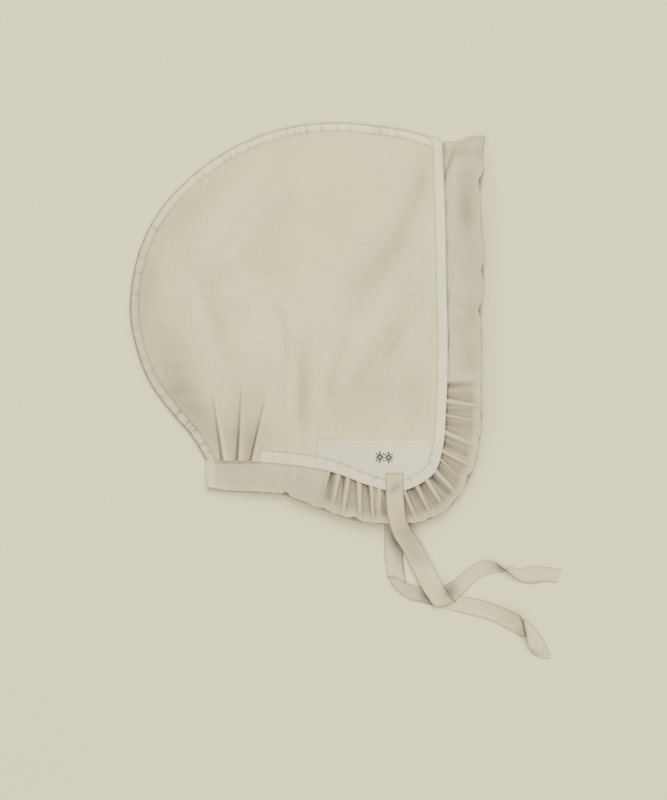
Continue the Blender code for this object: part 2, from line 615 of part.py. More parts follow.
def make_ruffle(material):
    """The ruffle: one strip from the nape along the near rim, over the top fold and back along the far rim."""
    near_along = np.r_[np.linspace(399.6, 320.0, 14), np.arange(317.4, 160.0, -1.85), np.linspace(156.0, 8.0, 18), (4.0, 1.5)]
    far_along = np.r_[(1.5, 5.0, 12.0), np.linspace(24.0, 160.0, 9), np.linspace(168.0, 318.0, 24), np.linspace(330.0, 399.6, 5)]
    out = np.array([0.0, 0.22, 0.5, 0.78, 1.0])

    def layer(along, far_side):
        point, inward = at_seam(np.hstack([RIM, RIM_IN]), along)
        root = point - inward * (GAP + 0.15)
        hem = ruffle_section(along)
        if far_side:
            away = hem[:, :2] - root
            hem[:, :2] += away / np.linalg.norm(away, axis=1, keepdims=True) * HEM_PEEK
        plan = root[:, None] + (hem[:, None, :2] - root[:, None]) * out[None, :, None]
        return root, hem, plan

    root, hem, plan = layer(near_along, False)
    root_z = near_top(root[:, 0], root[:, 1]) + 0.1
    drop = out[None, :] ** 1.5
    z = root_z[:, None] * (1 - drop) + hem[:, None, 2] * drop
    z += gathers(near_along)[:, None] * (0.55 + 0.45 * out[None, :])
    near = np.dstack([plan, z])
    _, _, plan = layer(far_along, True)
    wave = 0.5 + 0.5 * np.cos(far_along * 2 * math.pi / 17.0)
    z = tie_lift(plan[..., 0], plan[..., 1], 0.6) * TIE_LIFT + CLOTH / 2 + 0.02 + FAR_WAVE * wave[:, None] * out[None, :]
    far = np.dstack([plan, z])
    turn = round_fold(near[-1], far[0], FOLD_RISE, 7)
    grid = np.stack([*near, *turn, *far])
    normal = grid_normals(grid)
    if normal[0, 1, 2] < 0:
        normal = -normal
    upper, lower = grid + normal * CLOTH / 2, grid - normal * CLOTH / 2
    upper[..., 2], lower[..., 2] = np.maximum(upper[..., 2], 0.0), np.maximum(lower[..., 2], 0.0)
    return cloth_shell("ruffle", upper, lower, material)


def make_patch(material):
    """The corner patch, between its straight left and top edges and the edge band's inner line."""
    inner = RIM + RIM_IN * (BAND_WIDTH + GAP)
    s = arc_lengths(inner)
    left = s[int(np.argmin(np.abs(inner[:, 0] - PATCH_LEFT) + 1e3 * (inner[:, 1] > 0)))]
    right = s[int(np.argmin(np.abs(inner[:, 1] - PATCH_TOP) + 1e3 * (inner[:, 0] < 40)))]
    corner = s[int(np.argmin(np.linalg.norm(inner - np.array([55.5, -52.0]), axis=1)))]
    a, b = np.linspace(0, 1, 17), np.linspace(0, 1, 5)
    low = at_arc(inner, left + (corner - left) * a)
    face = at_arc(inner, corner + (right - corner) * b)
    top_left, top_right = np.array([low[0, 0], PATCH_TOP]), face[-1]
    top = top_left + (top_right - top_left) * a[:, None]
    side = low[0] + (top_left - low[0]) * b[:, None]
    u, v = a[:, None, None], b[None, :, None]
    corners = (1 - u) * (1 - v) * low[0] + u * (1 - v) * low[-1] + (1 - u) * v * top[0] + u * v * top[-1]
    plan = (1 - v) * low[:, None] + v * top[:, None] + (1 - u) * side[None] + u * face[None] - corners
    surface = np.dstack([plan, near_top(plan[..., 0], plan[..., 1])])
    rise = upward(grid_normals(surface))
    lower, upper = surface + rise * GAP, surface + rise * (GAP + CLOTH)
    upper[..., :2], lower[..., :2] = plan, plan
    return cloth_shell("corner_patch", upper, lower, material)


def ruffle_height(x, y):
    """Height of the near ruffle's middle, without its gathers, over a plan point under the near tie."""
    v = np.clip((-70.0 - y) / 23.0, 0.0, 1.0) ** 1.5
    root = near_top(np.array([x]), np.array([-70.0]))[0] + 0.1
    return root * (1 - v) + TIE_HEM_HEIGHT * v


def tie_edges(rows):
    """The edge points of a tie's rows, with heights over the cap made absolute."""
    out = []
    for row in rows:
        pair = []
        for x, y, z in (row[0:3], row[3:6]):
            over = row[6] if len(row) > 6 else 0
            base = near_top(np.array([x]), np.array([y]))[0] if over == 1 else ruffle_height(x, y) if over == 2 else 0.0
            pair.append((x, y, base + z))
        out.append(pair)
    return np.array(out)


def make_tie(name, rows, step, material):
    """A tape tie: a strip between its two edge curves, its wall set off both ways from its middle."""
    edges = tie_edges(rows).reshape(len(rows), 6)
    fine = smooth_curve(edges, 12)
    middle = (edges[:, :3] + edges[:, 3:]) / 2
    spans = np.linalg.norm(np.diff(middle, axis=0), axis=1)
    picks = [0.0]
    for k, span in enumerate(spans):
        steps = max(2, int(math.ceil(span / step)))
        picks += [(k + (j + 1) / steps) * 12 for j in range(steps)]
    both = np.stack([np.interp(picks, np.arange(len(fine)), fine[:, k]) for k in range(6)], axis=-1)
    across = np.linspace(0.0, 1.0, 3)[None, :, None]
    grid = both[:, None, :3] * (1 - across) + both[:, None, 3:] * across
    normal = grid_normals(grid)
    low = CLOTH / 2 * np.abs(normal[..., 2:])
    grid[..., 2:] = np.maximum(grid[..., 2:], low)
    return cloth_shell(name, grid + normal * CLOTH / 2, grid - normal * CLOTH / 2, material)


def main():
    for obj in list(bpy.data.objects):
        bpy.data.objects.remove(obj, do_unlink=True)
    linen = cloth_material("linen", LINEN, 0.9)
    band_linen = cloth_material("band_linen", PALE_LINEN, 0.88)
    binding_linen = cloth_material("binding_linen", PALE_LINEN, 0.88)
    ruffle_linen = cloth_material("ruffle_linen", RUFFLE_LINEN, 0.9)
    patch_linen = cloth_material("patch_linen", PALE_LINEN, 0.88)
    tape = cloth_material("tie_tape", TAPE_LINEN, 0.9)
    under_linen = cloth_material("under_linen", LINEN, 0.9)
    pieces = [
        make_near_panel(linen),
        make_far_panel(under_linen),
        make_binding(binding_linen),
        make_edge_band(band_linen),
        make_ruffle(ruffle_linen),
        make_patch(patch_linen),
        make_tie("near_tie", NEAR_TIE_ROWS, 4.0, tape),
        make_tie("far_tie", FAR_TIE_ROWS, 5.0, tape),
    ]
    root = bpy.data.objects.new("cap", None)
    bpy.context.scene.collection.objects.link(root)
    for piece in pieces:
        piece.parent = root


main()
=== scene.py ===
"""Dresses the infirmary cap: woven linen, gathers, hems, stitches and tape, lying folded on a pale surface.

Shapes are worked out in millimetres in the part's own frame and put into the meshes in metres. Every piece of
cloth is a grid of points computed as whole arrays, with a wall set off both ways from it.
"""

import logging
import math
from dataclasses import dataclass, field
from enum import Enum

import bpy
import numpy as np
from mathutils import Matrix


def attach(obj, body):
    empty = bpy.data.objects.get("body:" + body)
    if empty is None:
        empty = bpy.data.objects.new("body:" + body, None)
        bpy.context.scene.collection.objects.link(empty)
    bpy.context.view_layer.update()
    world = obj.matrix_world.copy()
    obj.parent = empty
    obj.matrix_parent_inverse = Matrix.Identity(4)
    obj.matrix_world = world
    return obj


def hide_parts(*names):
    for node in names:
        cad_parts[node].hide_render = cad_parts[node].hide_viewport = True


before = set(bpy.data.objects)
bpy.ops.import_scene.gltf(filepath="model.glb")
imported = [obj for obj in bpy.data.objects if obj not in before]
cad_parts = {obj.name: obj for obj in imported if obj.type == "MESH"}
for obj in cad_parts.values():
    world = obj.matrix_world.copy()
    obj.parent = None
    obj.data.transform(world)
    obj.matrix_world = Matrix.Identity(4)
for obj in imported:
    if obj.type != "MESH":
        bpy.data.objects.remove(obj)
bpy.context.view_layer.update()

LOG = logging.getLogger("infirmary_cap")
MM = 0.001
UV_UNIT = 100.0
CREASE_ANGLE = math.radians(62)
Array = np.ndarray

# Crown seam, from the nape round the back and over the top to the face: x_mm, y_mm.
SEAM_STATIONS = (
    (-98.4, -49.2), (-109.2, -31.5), (-122.7, -15.9), (-138.7, 6.7), (-147.6, 30), (-151.7, 51.6),
    (-150.8, 74), (-143.7, 102.6), (-131.2, 126.2), (-112, 147.6), (-85.5, 167.2), (-53, 181.6),
    (-24.5, 187.4), (-4, 188.2), (20, 186.2), (46, 182), (67.2, 174.9),
)

# Rim where the ruffle is sewn on, from the fold at the top of the face to the nape: x_mm, y_mm.
RIM_STATIONS = (
    (67.2, 174.9), (68.6, 130), (69.6, 75), (70.5, 32.8), (69.3, -14), (67, -40.3), (61.4, -57.1),
    (50.2, -65.6), (34.8, -70.4), (19.2, -67), (-9.9, -56.7), (-41.2, -51.5), (-98.4, -49.2),
)

# Height of the open rim over the crown seam: along_mm from the face fold, rise_mm.
RIM_RISE = ((0, 24), (60, 28), (140, 27), (205, 23), (264, 18), (310, 15), (350, 10), (400, 7))

# Tucks at the nape: root_x, root_y, top_x, top_y, depth_mm.
TUCKS = (
    (-87, -49, -93.8, -0.5, 2), (-76.5, -49, -73, 6.5, 2.3), (-67, -49, -55.2, 1.5, 2.3),
)

# Soft folds in the near panel: from_x, from_y, to_x, to_y, half_width, height (a dent is negative).
SOFT_FOLDS = (
    (-62, 124, -38, 70, 19, -3.2), (-34, 158, -96, 84, 10, 2.6), (-99, 78, -88, 24, 8, -2.4),
    (-66, 60, -66, 22, 13, 2.2), (-50, 60, -40.5, 16, 5, -2.6), (-34, 28, -34, -34, 4.5, -2.8),
    (-39.5, 36, -39.5, -34, 3.6, 1.6), (52, 156, 0, 54, 12, -4), (-2, 50, -13, -8, 5, -2.2),
    (54, 72, 2, -8, 4, 2), (54, 86, 28, 42, 7, -2.6), (28, 42, 0, -8, 4.5, -1.8), (54, 26, 2, -12, 8, 1.2),
    (-124, -2, -106, -6, 8, -1.4),
)

# Painted shade on the near panel, and painted light where the depth is negative: x, y, half width, half
# height, lean in radians, depth.
PANEL_PAINTED_SHADE = (
    (-111.5, 1, 10, 5.5, 0, 0.18), (-103.5, -12, 9, 5, 0, 0.18), (-46, 127, 8, 30, -0.62, 0.13),
    (-69, 143, 9, 34, -0.66, -0.22), (-18, 167, 46, 14, 0, -0.24), (-122, 84, 9, 24, -0.10, -0.10),
    (-10, -3, 8, 15, 0, 0.20), (46, -6, 16, 24, 0, 0.20), (-68, -3, 10, 12, 0, 0.16),
    (-97, 97, 6, 22, -0.29, -0.08), (45.5, 129, 8.5, 32, -0.30, 0.30), (54, 144, 5, 12, 0, 0.22),
    (32, 101, 8.5, 20, -0.50, 0.18), (16.5, 78, 11, 32, -0.65, 0.34), (39, 59, 7, 22, -0.59, 0.18),
    (34.5, 38, 7, 22, -0.48, 0.34), (12.4, 16.2, 5.5, 28, -0.53, 0.26), (18, 0, 15, 20, -0.40, 0.28),
    (-58, 96, 15, 16, -0.40, 0.20), (26, 30.5, 2.4, 46, -0.585, -0.13), (-7.9, 15.8, 3.6, 26, -0.24, 0.26),
    (-16, 16, 3.2, 28, -0.22, -0.07), (-29, -1, 5, 31, 0, 0.34), (-33.2, -4, 1.1, 27, 0, 0.22),
    (-38.3, 6, 2.8, 38, 0, -0.14), (-46.4, 55, 2.6, 10, 0.61, 0.16), (-42.4, 34, 3, 17, 0.10, 0.24),
    (-66, 41, 13, 21, 0, -0.11), (-87, 81, 6, 18, -0.92, 0.16), (-93, 50, 5.5, 25, 0.33, 0.22),
    (-105.5, 66, 2.2, 14, 0.20, -0.12), (-124, 34, 13, 24, 0.10, 0.17), (-112.5, -7, 9.5, 19, 0.55, 0.42),
    (-98.5, -27, 9, 14, 0.30, 0.30), (-114, 17, 11, 12, 0.20, 0.20), (-123, -2, 6, 11, 0.60, 0.16),
    (-111, 125, 9, 16, -0.70, 0.12), (-139, 70, 6, 26, -0.15, 0.12), (-71, -33, 18, 19, 0, 0.48),
    (49.3, -1, 8, 12, 0, 0.08), (-60, 2, 3, 16, -0.2, 0.08), (30, 172, 26, 8, 0.2, -0.08),
)

# Yellowed places on the near panel, as above.
STAINS = (
    (-4, 136, 30, 17, -0.35, 0.60), (-41.5, 93, 23, 20, -0.50, 0.60), (-20, 114, 24, 18, -0.40, 0.35),
    (52, 168, 7, 5, 0, 0.50), (20, -22, 24, 8, 0, 0.30),
)

# Painted shade in creases and hollows on the front of the ruffle, and painted light where the depth is
# negative, as above.
RUFFLE_PAINTED_SHADE = (
    (23.8, -74, 2.8, 7, 0, -0.55), (72.2, 158.5, 1.1, 11, -0.33, 0.80), (83.5, 176, 1.1, 5, -1.10, 0.45),
    (93.5, 168.5, 2.6, 7, 0, 0.32), (69.6, 149, 0.8, 6, 0, 0.50), (69.8, 128, 0.8, 6.5, 0, 0.40),
    (70.2, 100, 0.8, 6, 0, 0.30), (70.9, 62, 0.8, 9, 0, 0.50), (71.2, 34, 0.8, 9, 0, 0.60),
    (69.6, 168, 1, 5, 0, 0.35), (83.5, 126, 6.5, 21, 0, 0.42), (88, 152, 5, 10, 0, 0.12),
    (77.5, 157, 3.5, 12, -0.35, -0.14), (82, 168, 5, 5, -0.6, 0.18), (75, 134, 3, 14, 0, -0.08),
    (79, 76, 5, 15, 0, -0.12), (76, 96, 3, 8, 0.5, 0.12), (87, 54, 4, 9, 0, 0.20),
    (75, 42, 3, 9, -0.5, 0.10), (86, 24, 3.5, 12, 0.3, 0.16), (90, 92, 3, 9, 0, 0.10),
    (-36.8, -60, 0.9, 6, -0.31, -0.24), (-32.5, -61, 2.4, 6, -0.30, 0.16), (-42, -59, 3, 6, -0.30, 0.18),
    (-76, -50.6, 18, 1.2, 0, 0.55), (-84, -55, 8, 3, 0, 0.20), (-66, -54, 9, 2, 0, 0.16),
)

# Ruffle sections: along_mm, hem_x, hem_y, hem_z.
RUFFLE_SECTIONS = (
    (0, 96.9, 176.2, 7.5), (3.7, 95.8, 171, 9), (15, 94.8, 160.8, 11.5), (18.7, 96.2, 155.8, 12.5),
    (28.1, 94, 146, 14), (49.5, 93.7, 125, 16.5), (77, 95.8, 98.1, 17.5), (103.4, 95.6, 71.3, 17),
    (122.8, 93.9, 52.2, 16), (142.1, 94.4, 31.9, 16), (167.5, 94.1, 7, 16), (183.1, 94.3, -10, 15.5),
    (192.3, 94.7, -21.3, 15), (203.3, 92.1, -38.8, 14.6), (214, 89.1, -53.8, 14),
    (222.2, 85.2, -62.6, 13.4), (231.1, 79, -73, 13), (240.3, 70.5, -83.3, 12.5),
    (247.6, 61.1, -88.4, 12.1), (257, 50.9, -92, 11.8), (265.6, 36.8, -92.9, 11.5),
    (273.6, 27, -92.9, 11.2), (281, 19.4, -92.6, 11), (290.6, 10.2, -91.4, 10.8),
    (298.8, -1.9, -88.2, 10.6), (305.5, -10.3, -85, 10.3), (312.3, -18.7, -82.2, 10),
    (324, -30.3, -77.7, 9.5), (338, -42.9, -73, 8.8), (363.8, -64.9, -70.7, 7.4),
    (382.9, -82.1, -70.1, 6.2), (399.6, -97.4, -67.9, 5.2),
)

# Pleats of the gathers: along_mm at the root and the hem, height_mm, reach (share of the width), half width.
PLEATS = (
    (167.7, 167, 2, 1.02, 1.25), (182.3, 183.8, 2.2, 0.98, 1.75), (192.2, 192.6, 1, 0.75, 0.70),
    (203.7, 203.8, 2.4, 0.84, 1.70), (216.8, 214, 2.4, 0.98, 1.30), (222.7, 223.6, 1.4, 0.50, 0.80),
    (231.8, 231.5, 2.4, 0.92, 1.70), (240.8, 240.8, 2.4, 0.78, 1.60), (248.7, 248.5, 2.2, 0.85, 1.30),
    (258.3, 257.7, 2.4, 0.92, 1.20), (262.6, 261, 1.2, 0.60, 0.60), (276, 276.6, 1.8, 0.55, 1.50),
    (281.8, 281.5, 2.2, 0.97, 1.70), (291, 291, 2.2, 1.02, 1.80), (299, 299.5, 2.2, 0.97, 1.80),
    (306, 305.5, 1.8, 0.74, 1.70), (313, 312.5, 2, 1.02, 1.20),
)

# Places where the near hem turns under: along_mm, how far it draws back, half length, depth of its shade.
HEM_DENTS = (
    (27, 1.3, 5, 0.7), (62, 0.4, 6, 0), (90.5, 1.5, 4.2, 1), (118.6, 1.7, 3.6, 1.2), (135, 0.1, 4, 0.5),
    (190, 0.6, 3, 0.4), (220.5, 1.7, 2.6, 1.1), (224.8, -0.9, 2.2, 0.6), (236, 0.5, 3, 0.3),
    (250, 0.5, 1.5, 0.3), (293.5, 1.3, 2.8, 0.9), (309.5, 0.5, 1.6, 0.4), (327, 0.4, 3, 0.2),
    (338, 1.4, 3.8, 1.1), (345.5, -0.5, 4, 0.3),
)

# Each tie as rows of its two edges: left x, y, z, right x, y, z. Where the seventh number is 1 the heights
# are from the near panel, and where it is 2 from the near ruffle.
NEAR_TIE_ROWS = (
    (27.5, -57.6, 1.2, 39.8, -57.6, 1.2, 1), (27.5, -63.5, 1.7, 39.8, -63.7, 1.7, 1),
    (27.6, -69.6, 1.9, 39.9, -70, 1.9, 1), (27.9, -77, 2.7, 40.4, -77.5, 2.7, 2),
    (28.8, -86.5, 2.8, 41.4, -86.5, 2.8, 2), (30.5, -94, 2.6, 43.5, -93.5, 2.6, 2),
    (33.6, -102.5, 8, 47.8, -100.3, 8, 0), (38.6, -110.5, 3.6, 52.4, -107, 3.6, 0),
    (46.7, -126.5, 2.4, 59.8, -121, 2.4, 0), (54.2, -140.5, 3.6, 66.6, -133.8, 3.4, 0),
    (58.9, -147.3, 4, 71.6, -141.6, 4, 0), (60.8, -150.2, 3.8, 74.6, -146, 3.7, 0),
    (61.8, -151.4, 2.6, 76.2, -147.8, 2.6, 0), (61.4, -150.4, 1.5, 77.2, -147, 1.5, 0),
    (63.2, -143.8, 1.5, 78.8, -145.2, 1.5, 0), (68.4, -137.6, 1.5, 80.6, -143.4, 1.5, 0),
    (76.5, -132.4, 1.2, 84.4, -139.8, 1.2, 0), (86.9, -123.8, 0.6, 90.6, -133.6, 0.6, 0),
    (98.2, -119.2, 1.6, 98.5, -129, 0.4, 0), (104.8, -120.8, 4.2, 105, -127.3, 0.5, 0),
    (109.8, -124.4, 5.8, 110.8, -127.2, 0.6, 0), (113.4, -127.4, 5.4, 112, -124.8, 0.6, 0),
    (117.4, -130.4, 4.2, 114.6, -123.6, 0.5, 0), (122.6, -133.7, 1.8, 121, -124.8, 0.4, 0),
    (131.2, -135.4, 0.5, 131.8, -123.4, 0.4, 0), (140.4, -133.8, 0.4, 142.6, -124.2, 0.4, 0),
    (148, -134.8, 0.4, 151.6, -125.8, 0.4, 0),
)
FAR_TIE_ROWS = (
    (26.9, -63, 0.3, 39.2, -63, 0.3, 0), (26.9, -78, 0.3, 39.3, -78, 0.3, 0),
    (26.9, -92, 0.3, 39.4, -92.6, 0.3, 0), (26.8, -104, 0.4, 39.5, -106.5, 0.4, 0),
    (27, -114, 0.4, 40.4, -121, 0.4, 0), (27.6, -121.6, 0.4, 41.8, -133.6, 0.4, 0),
    (28.6, -127, 0.5, 43.6, -140.6, 0.5, 0), (29.6, -130.2, 1.5, 45.2, -145.2, 1.3, 0),
    (32, -130.6, 2.6, 46.6, -146.4, 2.2, 0), (38.5, -133.4, 2.2, 50.2, -147.4, 1.4, 0),
    (51.3, -138, 0.6, 58.6, -150.2, 0.4, 0), (66, -141, 0.3, 68.2, -152.4, 0.3, 0),
    (80.4, -144.2, 0.3, 80.2, -155.6, 0.3, 0), (95.4, -147.2, 0.8, 98.5, -160.2, 0.5, 0),
    (109.5, -152.2, 3.2, 112.4, -166.6, 0.6, 0), (117.2, -155.6, 5.4, 119.6, -170.4, 0.8, 0),
    (122.4, -158.6, 7.6, 125, -173.2, 0.6, 0), (124.4, -165, 8.6, 125.2, -167.4, 0.5, 0),
    (125.8, -172, 6.2, 124.2, -160.2, 1.2, 0), (127.3, -178.6, 3.2, 131.6, -166.6, 1.8, 0),
    (131.4, -184.4, 1.4, 138.4, -175.4, 1.6, 0), (137.4, -187.4, 0.8, 141.9, -182.6, 1.6, 0),
    (143, -187.9, 0.5, 143.8, -186.6, 0.9, 0),
)

# How far the middle of a tie bows out where it rolls over: x, y, half length, dx, dy.
TIE_ROLLS = (
    (36, -138.5, 7, -2.6, -2), (69, -149.6, 6, -0.6, -1.4),
)

# Painted shade and shadow on each tie, where the tapes cross, fold and lie under the ruffle, as above.
NEAR_TIE_PAINTED_SHADE = (
    (34.8, -67.6, 1.3, 5.5, -0.75, 0.60), (34, -68, 8, 9, 0, 0.40), (42, -98, 8, 14, 0.30, 0.44),
    (49, -115, 8, 11, 0.45, 0.48), (73, -140.4, 6, 7, -0.50, 1.02), (92, -126, 8, 2.5, 0.4, 0.12),
    (109.6, -125, 1.7, 4.8, 1.20, 0.80), (105, -123.5, 6, 3.5, 0, 0.30), (137, -134.3, 9, 1.8, 0.08, 0.45),
)
FAR_TIE_PAINTED_SHADE = (
    (35.2, -106, 5.4, 16, 0.32, 1.15), (41.5, -126, 2.4, 10, 0.2, 0.50), (40, -139.5, 11, 5, -0.30, 0.34),
    (57, -144, 6, 8.5, 0.50, 1.15), (72, -147, 5, 4, 0, 0.16), (96, -152, 14, 4, -0.30, 0.12),
    (124.7, -166, 1.1, 7.5, 0.28, 0.95), (122, -170, 2.6, 5, 0.45, 0.50), (114, -161, 6, 5, 0, 0.20),
    (135.2, -184.8, 6, 0.9, 0, 0.55), (131, -182.2, 1.6, 2, 0.9, 0.60),
)

# Where the rim turns from the face to the jaw: x_mm, y_mm.
JAW_CORNER = (61.4, -57.1)

# Slope of the top fold, and how far before the end of their edge lines the binding and the band stop, in mm.
FOLD_SLANT = 0.40
END_MARGIN = 8.0

# Cross-stitch mark on the patch, one star: X is a cross.
STAR_CHART = ("..X..", "X.X.X", ".XXX.", "XX.XX", ".XXX.", "X.X.X", "..X..")


class Slot(Enum):
    """Material slots of the record."""

    LINEN = "linen"
    BAND = "band_linen"
    RUFFLE = "ruffle_linen"
    PATCH = "patch_linen"
    TAPE = "tie_tape"


class Hold(Enum):
    """How a sheet of cloth is held."""

    LAID = "laid"
    GATHERED = "gathered"
    FOLDED = "folded"


def smooth_curve(points: Array, per_span: int) -> Array:
    """A cubic between each two points, whose end slopes come from the spacing of its neighbours.

    Args:
        points: rows of coordinates.
        per_span: how many points each span gets.

    Returns:
        The dense rows.
    """
    p = np.asarray(points, dtype=float)
    q = np.vstack([2 * p[0] - p[1], p, 2 * p[-1] - p[-2]])
    a, b, c, d = q[:-3], q[1:-2], q[2:-1], q[3:]
    la, lb, lc = (np.linalg.norm(v, axis=1, keepdims=True) + 1e-9 for v in (b - a, c - b, d - c))
    start = ((b - a) / la * lb + (c - b) / lb * la) / (la + lb) * lb
    end = ((c - b) / lb * lc + (d - c) / lc * lb) / (lb + lc) * lb
    t = np.linspace(0.0, 1.0, per_span, endpoint=False)[None, :, None]
    spans = (
        (2 * t**3 - 3 * t**2 + 1) * b[:, None]
        + (t**3 - 2 * t**2 + t) * start[:, None]
        + (-2 * t**3 + 3 * t**2) * c[:, None]
        + (t**3 - t**2) * end[:, None]
    )
    return np.vstack([spans.reshape(-1, p.shape[1]), p[-1:]])


def arc_lengths(curve: Array) -> Array:
    """Distance along the curve to each of its points."""
    return np.r_[0.0, np.cumsum(np.linalg.norm(np.diff(curve, axis=0), axis=1))]


def soft_step(value: Array, low: float, high: float) -> Array:
    """0 below low, 1 above high, and the cubic 3t^2 - 2t^3 between."""
    t = np.clip((value - low) / (high - low), 0.0, 1.0)
    return t * t * (3 - 2 * t)


def bell(value: Array, half: Array) -> Array:
    """exp(-(value / half)^2)."""
    return np.exp(-((value / half) ** 2))


def shade_and_stain_spots(xy: Array, spots: tuple) -> Array:
    """Sum of leaning ovals: depth * exp(-(u / half width)^2 - (v / half height)^2), turned by the lean.

    Args:
        xy: rows of plan points.
        spots: rows of x, y, half width, half height, lean, depth.

    Returns:
        One value for each point.
    """
    total = np.zeros(len(xy))
    for x, y, wide, tall, lean, depth in spots:
        across, up = xy[:, 0] - x, xy[:, 1] - y
        u, v = across * math.cos(lean) + up * math.sin(lean), up * math.cos(lean) - across * math.sin(lean)
        total += depth * bell(u, wide) * bell(v, tall)
    return total


def ripple(along: Array, pitch: float, seed: float) -> Array:
    """Uneven waves of about the given pitch, from -1 to 1: five sines whose pitches aren't multiples."""
    k = 2 * math.pi / pitch
    waves = [
        math.sin(seed * (n + 1.7)) * 0.4 * np.sin(k * f * along + seed * (n + 1) * 2.3)
        + 0.36 * np.sin(k * f * 1.13 * along + seed * 5.1 + n)
        for n, f in enumerate((0.61, 0.87, 1.0, 1.37, 1.83))
    ]
    return sum(waves) / 1.6


def grid_normals(grid: Array) -> Array:
    """Unit normals of a grid of points: its slope along rows crossed with its slope across them."""
    n = np.cross(np.gradient(grid, axis=0), np.gradient(grid, axis=1))
    return n / (np.linalg.norm(n, axis=2, keepdims=True) + 1e-12)


def facing(normals: Array) -> Array:
    """The same normals, all turned by one sign so that their first row mostly points up."""
    return normals * np.sign(normals[0, :, 2].mean() + 1e-12)


def along_line(curve: Array, lengths: Array, along: Array) -> Array:
    """Points at distances along a curve.

    Args:
        curve: rows of coordinates.
        lengths: distance along the curve to each of its rows.
        along: the distances wanted.

    Returns:
        A row of coordinates for each distance.
    """
    return np.stack([np.interp(along, lengths, column) for column in curve.T], axis=-1)


def window(value: Array, start: float, full: float, fading: float, end: float) -> Array:
    """0 outside start to end, 1 from full to fading, and a soft step between them at each side."""
    return soft_step(value, start, full) * (1 - soft_step(value, fading, end))


def coons(low: Array, top: Array, left: Array, right: Array, across: Array, up: Array) -> Array:
    """A Coons patch: both pairs of edges blended straight across, minus the blend of the four corners.

    Args:
        low, top: the lower and upper edge, a point for each share across.
        left, right: the side edges, a point for each share up.
        across, up: shares of the way, from 0 to 1.

    Returns:
        Grid of points, a row for each share across.
    """
    a, b = across[:, None, None], up[None, :, None]
    corners = (1 - a) * ((1 - b) * low[0] + b * top[0]) + a * ((1 - b) * low[-1] + b * top[-1])
    return (1 - b) * low[:, None] + b * top[:, None] + (1 - a) * left[None] + a * right[None] - corners


def tube_faces(rings: int, sides: int) -> Array:
    """Faces of an open tube whose points run round each ring in turn."""
    ids = np.arange(rings * sides).reshape(rings, sides)
    after = np.roll(ids, -1, axis=1)
    return np.stack([ids[:-1], after[:-1], after[1:], ids[1:]], axis=-1).reshape(-1, 4)


def beside_tuck(xy: Array, tuck: tuple) -> tuple[Array, Array]:
    """How far up a tuck each point lies, from 0 to 1, and its distance to the right of the tuck's line."""
    root_x, root_y, top_x, top_y = tuck[:4]
    up = np.clip((xy[:, 1] - root_y) / (top_y - root_y), 0.0, 1.0)
    return up, xy[:, 0] - root_x - (top_x - root_x) * up


def fractions(*spans: tuple[float, int]) -> Array:
    """Values from 0 to 1 in spans, each given as its end and its number of steps."""
    ends = [0.0, *(s[0] for s in spans)]
    runs = [np.linspace(a, b, n + 1)[1:] for a, b, (_, n) in zip(ends, ends[1:], spans)]
    return np.concatenate([[0.0], *runs])


def put(name: str, data: bpy.types.ID) -> bpy.types.Object:
    """An object of that data, linked into the scene."""
    obj = bpy.data.objects.new(name, data)
    bpy.context.scene.collection.objects.link(obj)
    return obj


def node_of(tree: bpy.types.NodeTree, kind: str) -> bpy.types.Node:
    """The tree's first node of a kind."""
    return next(n for n in tree.nodes if n.type == kind)


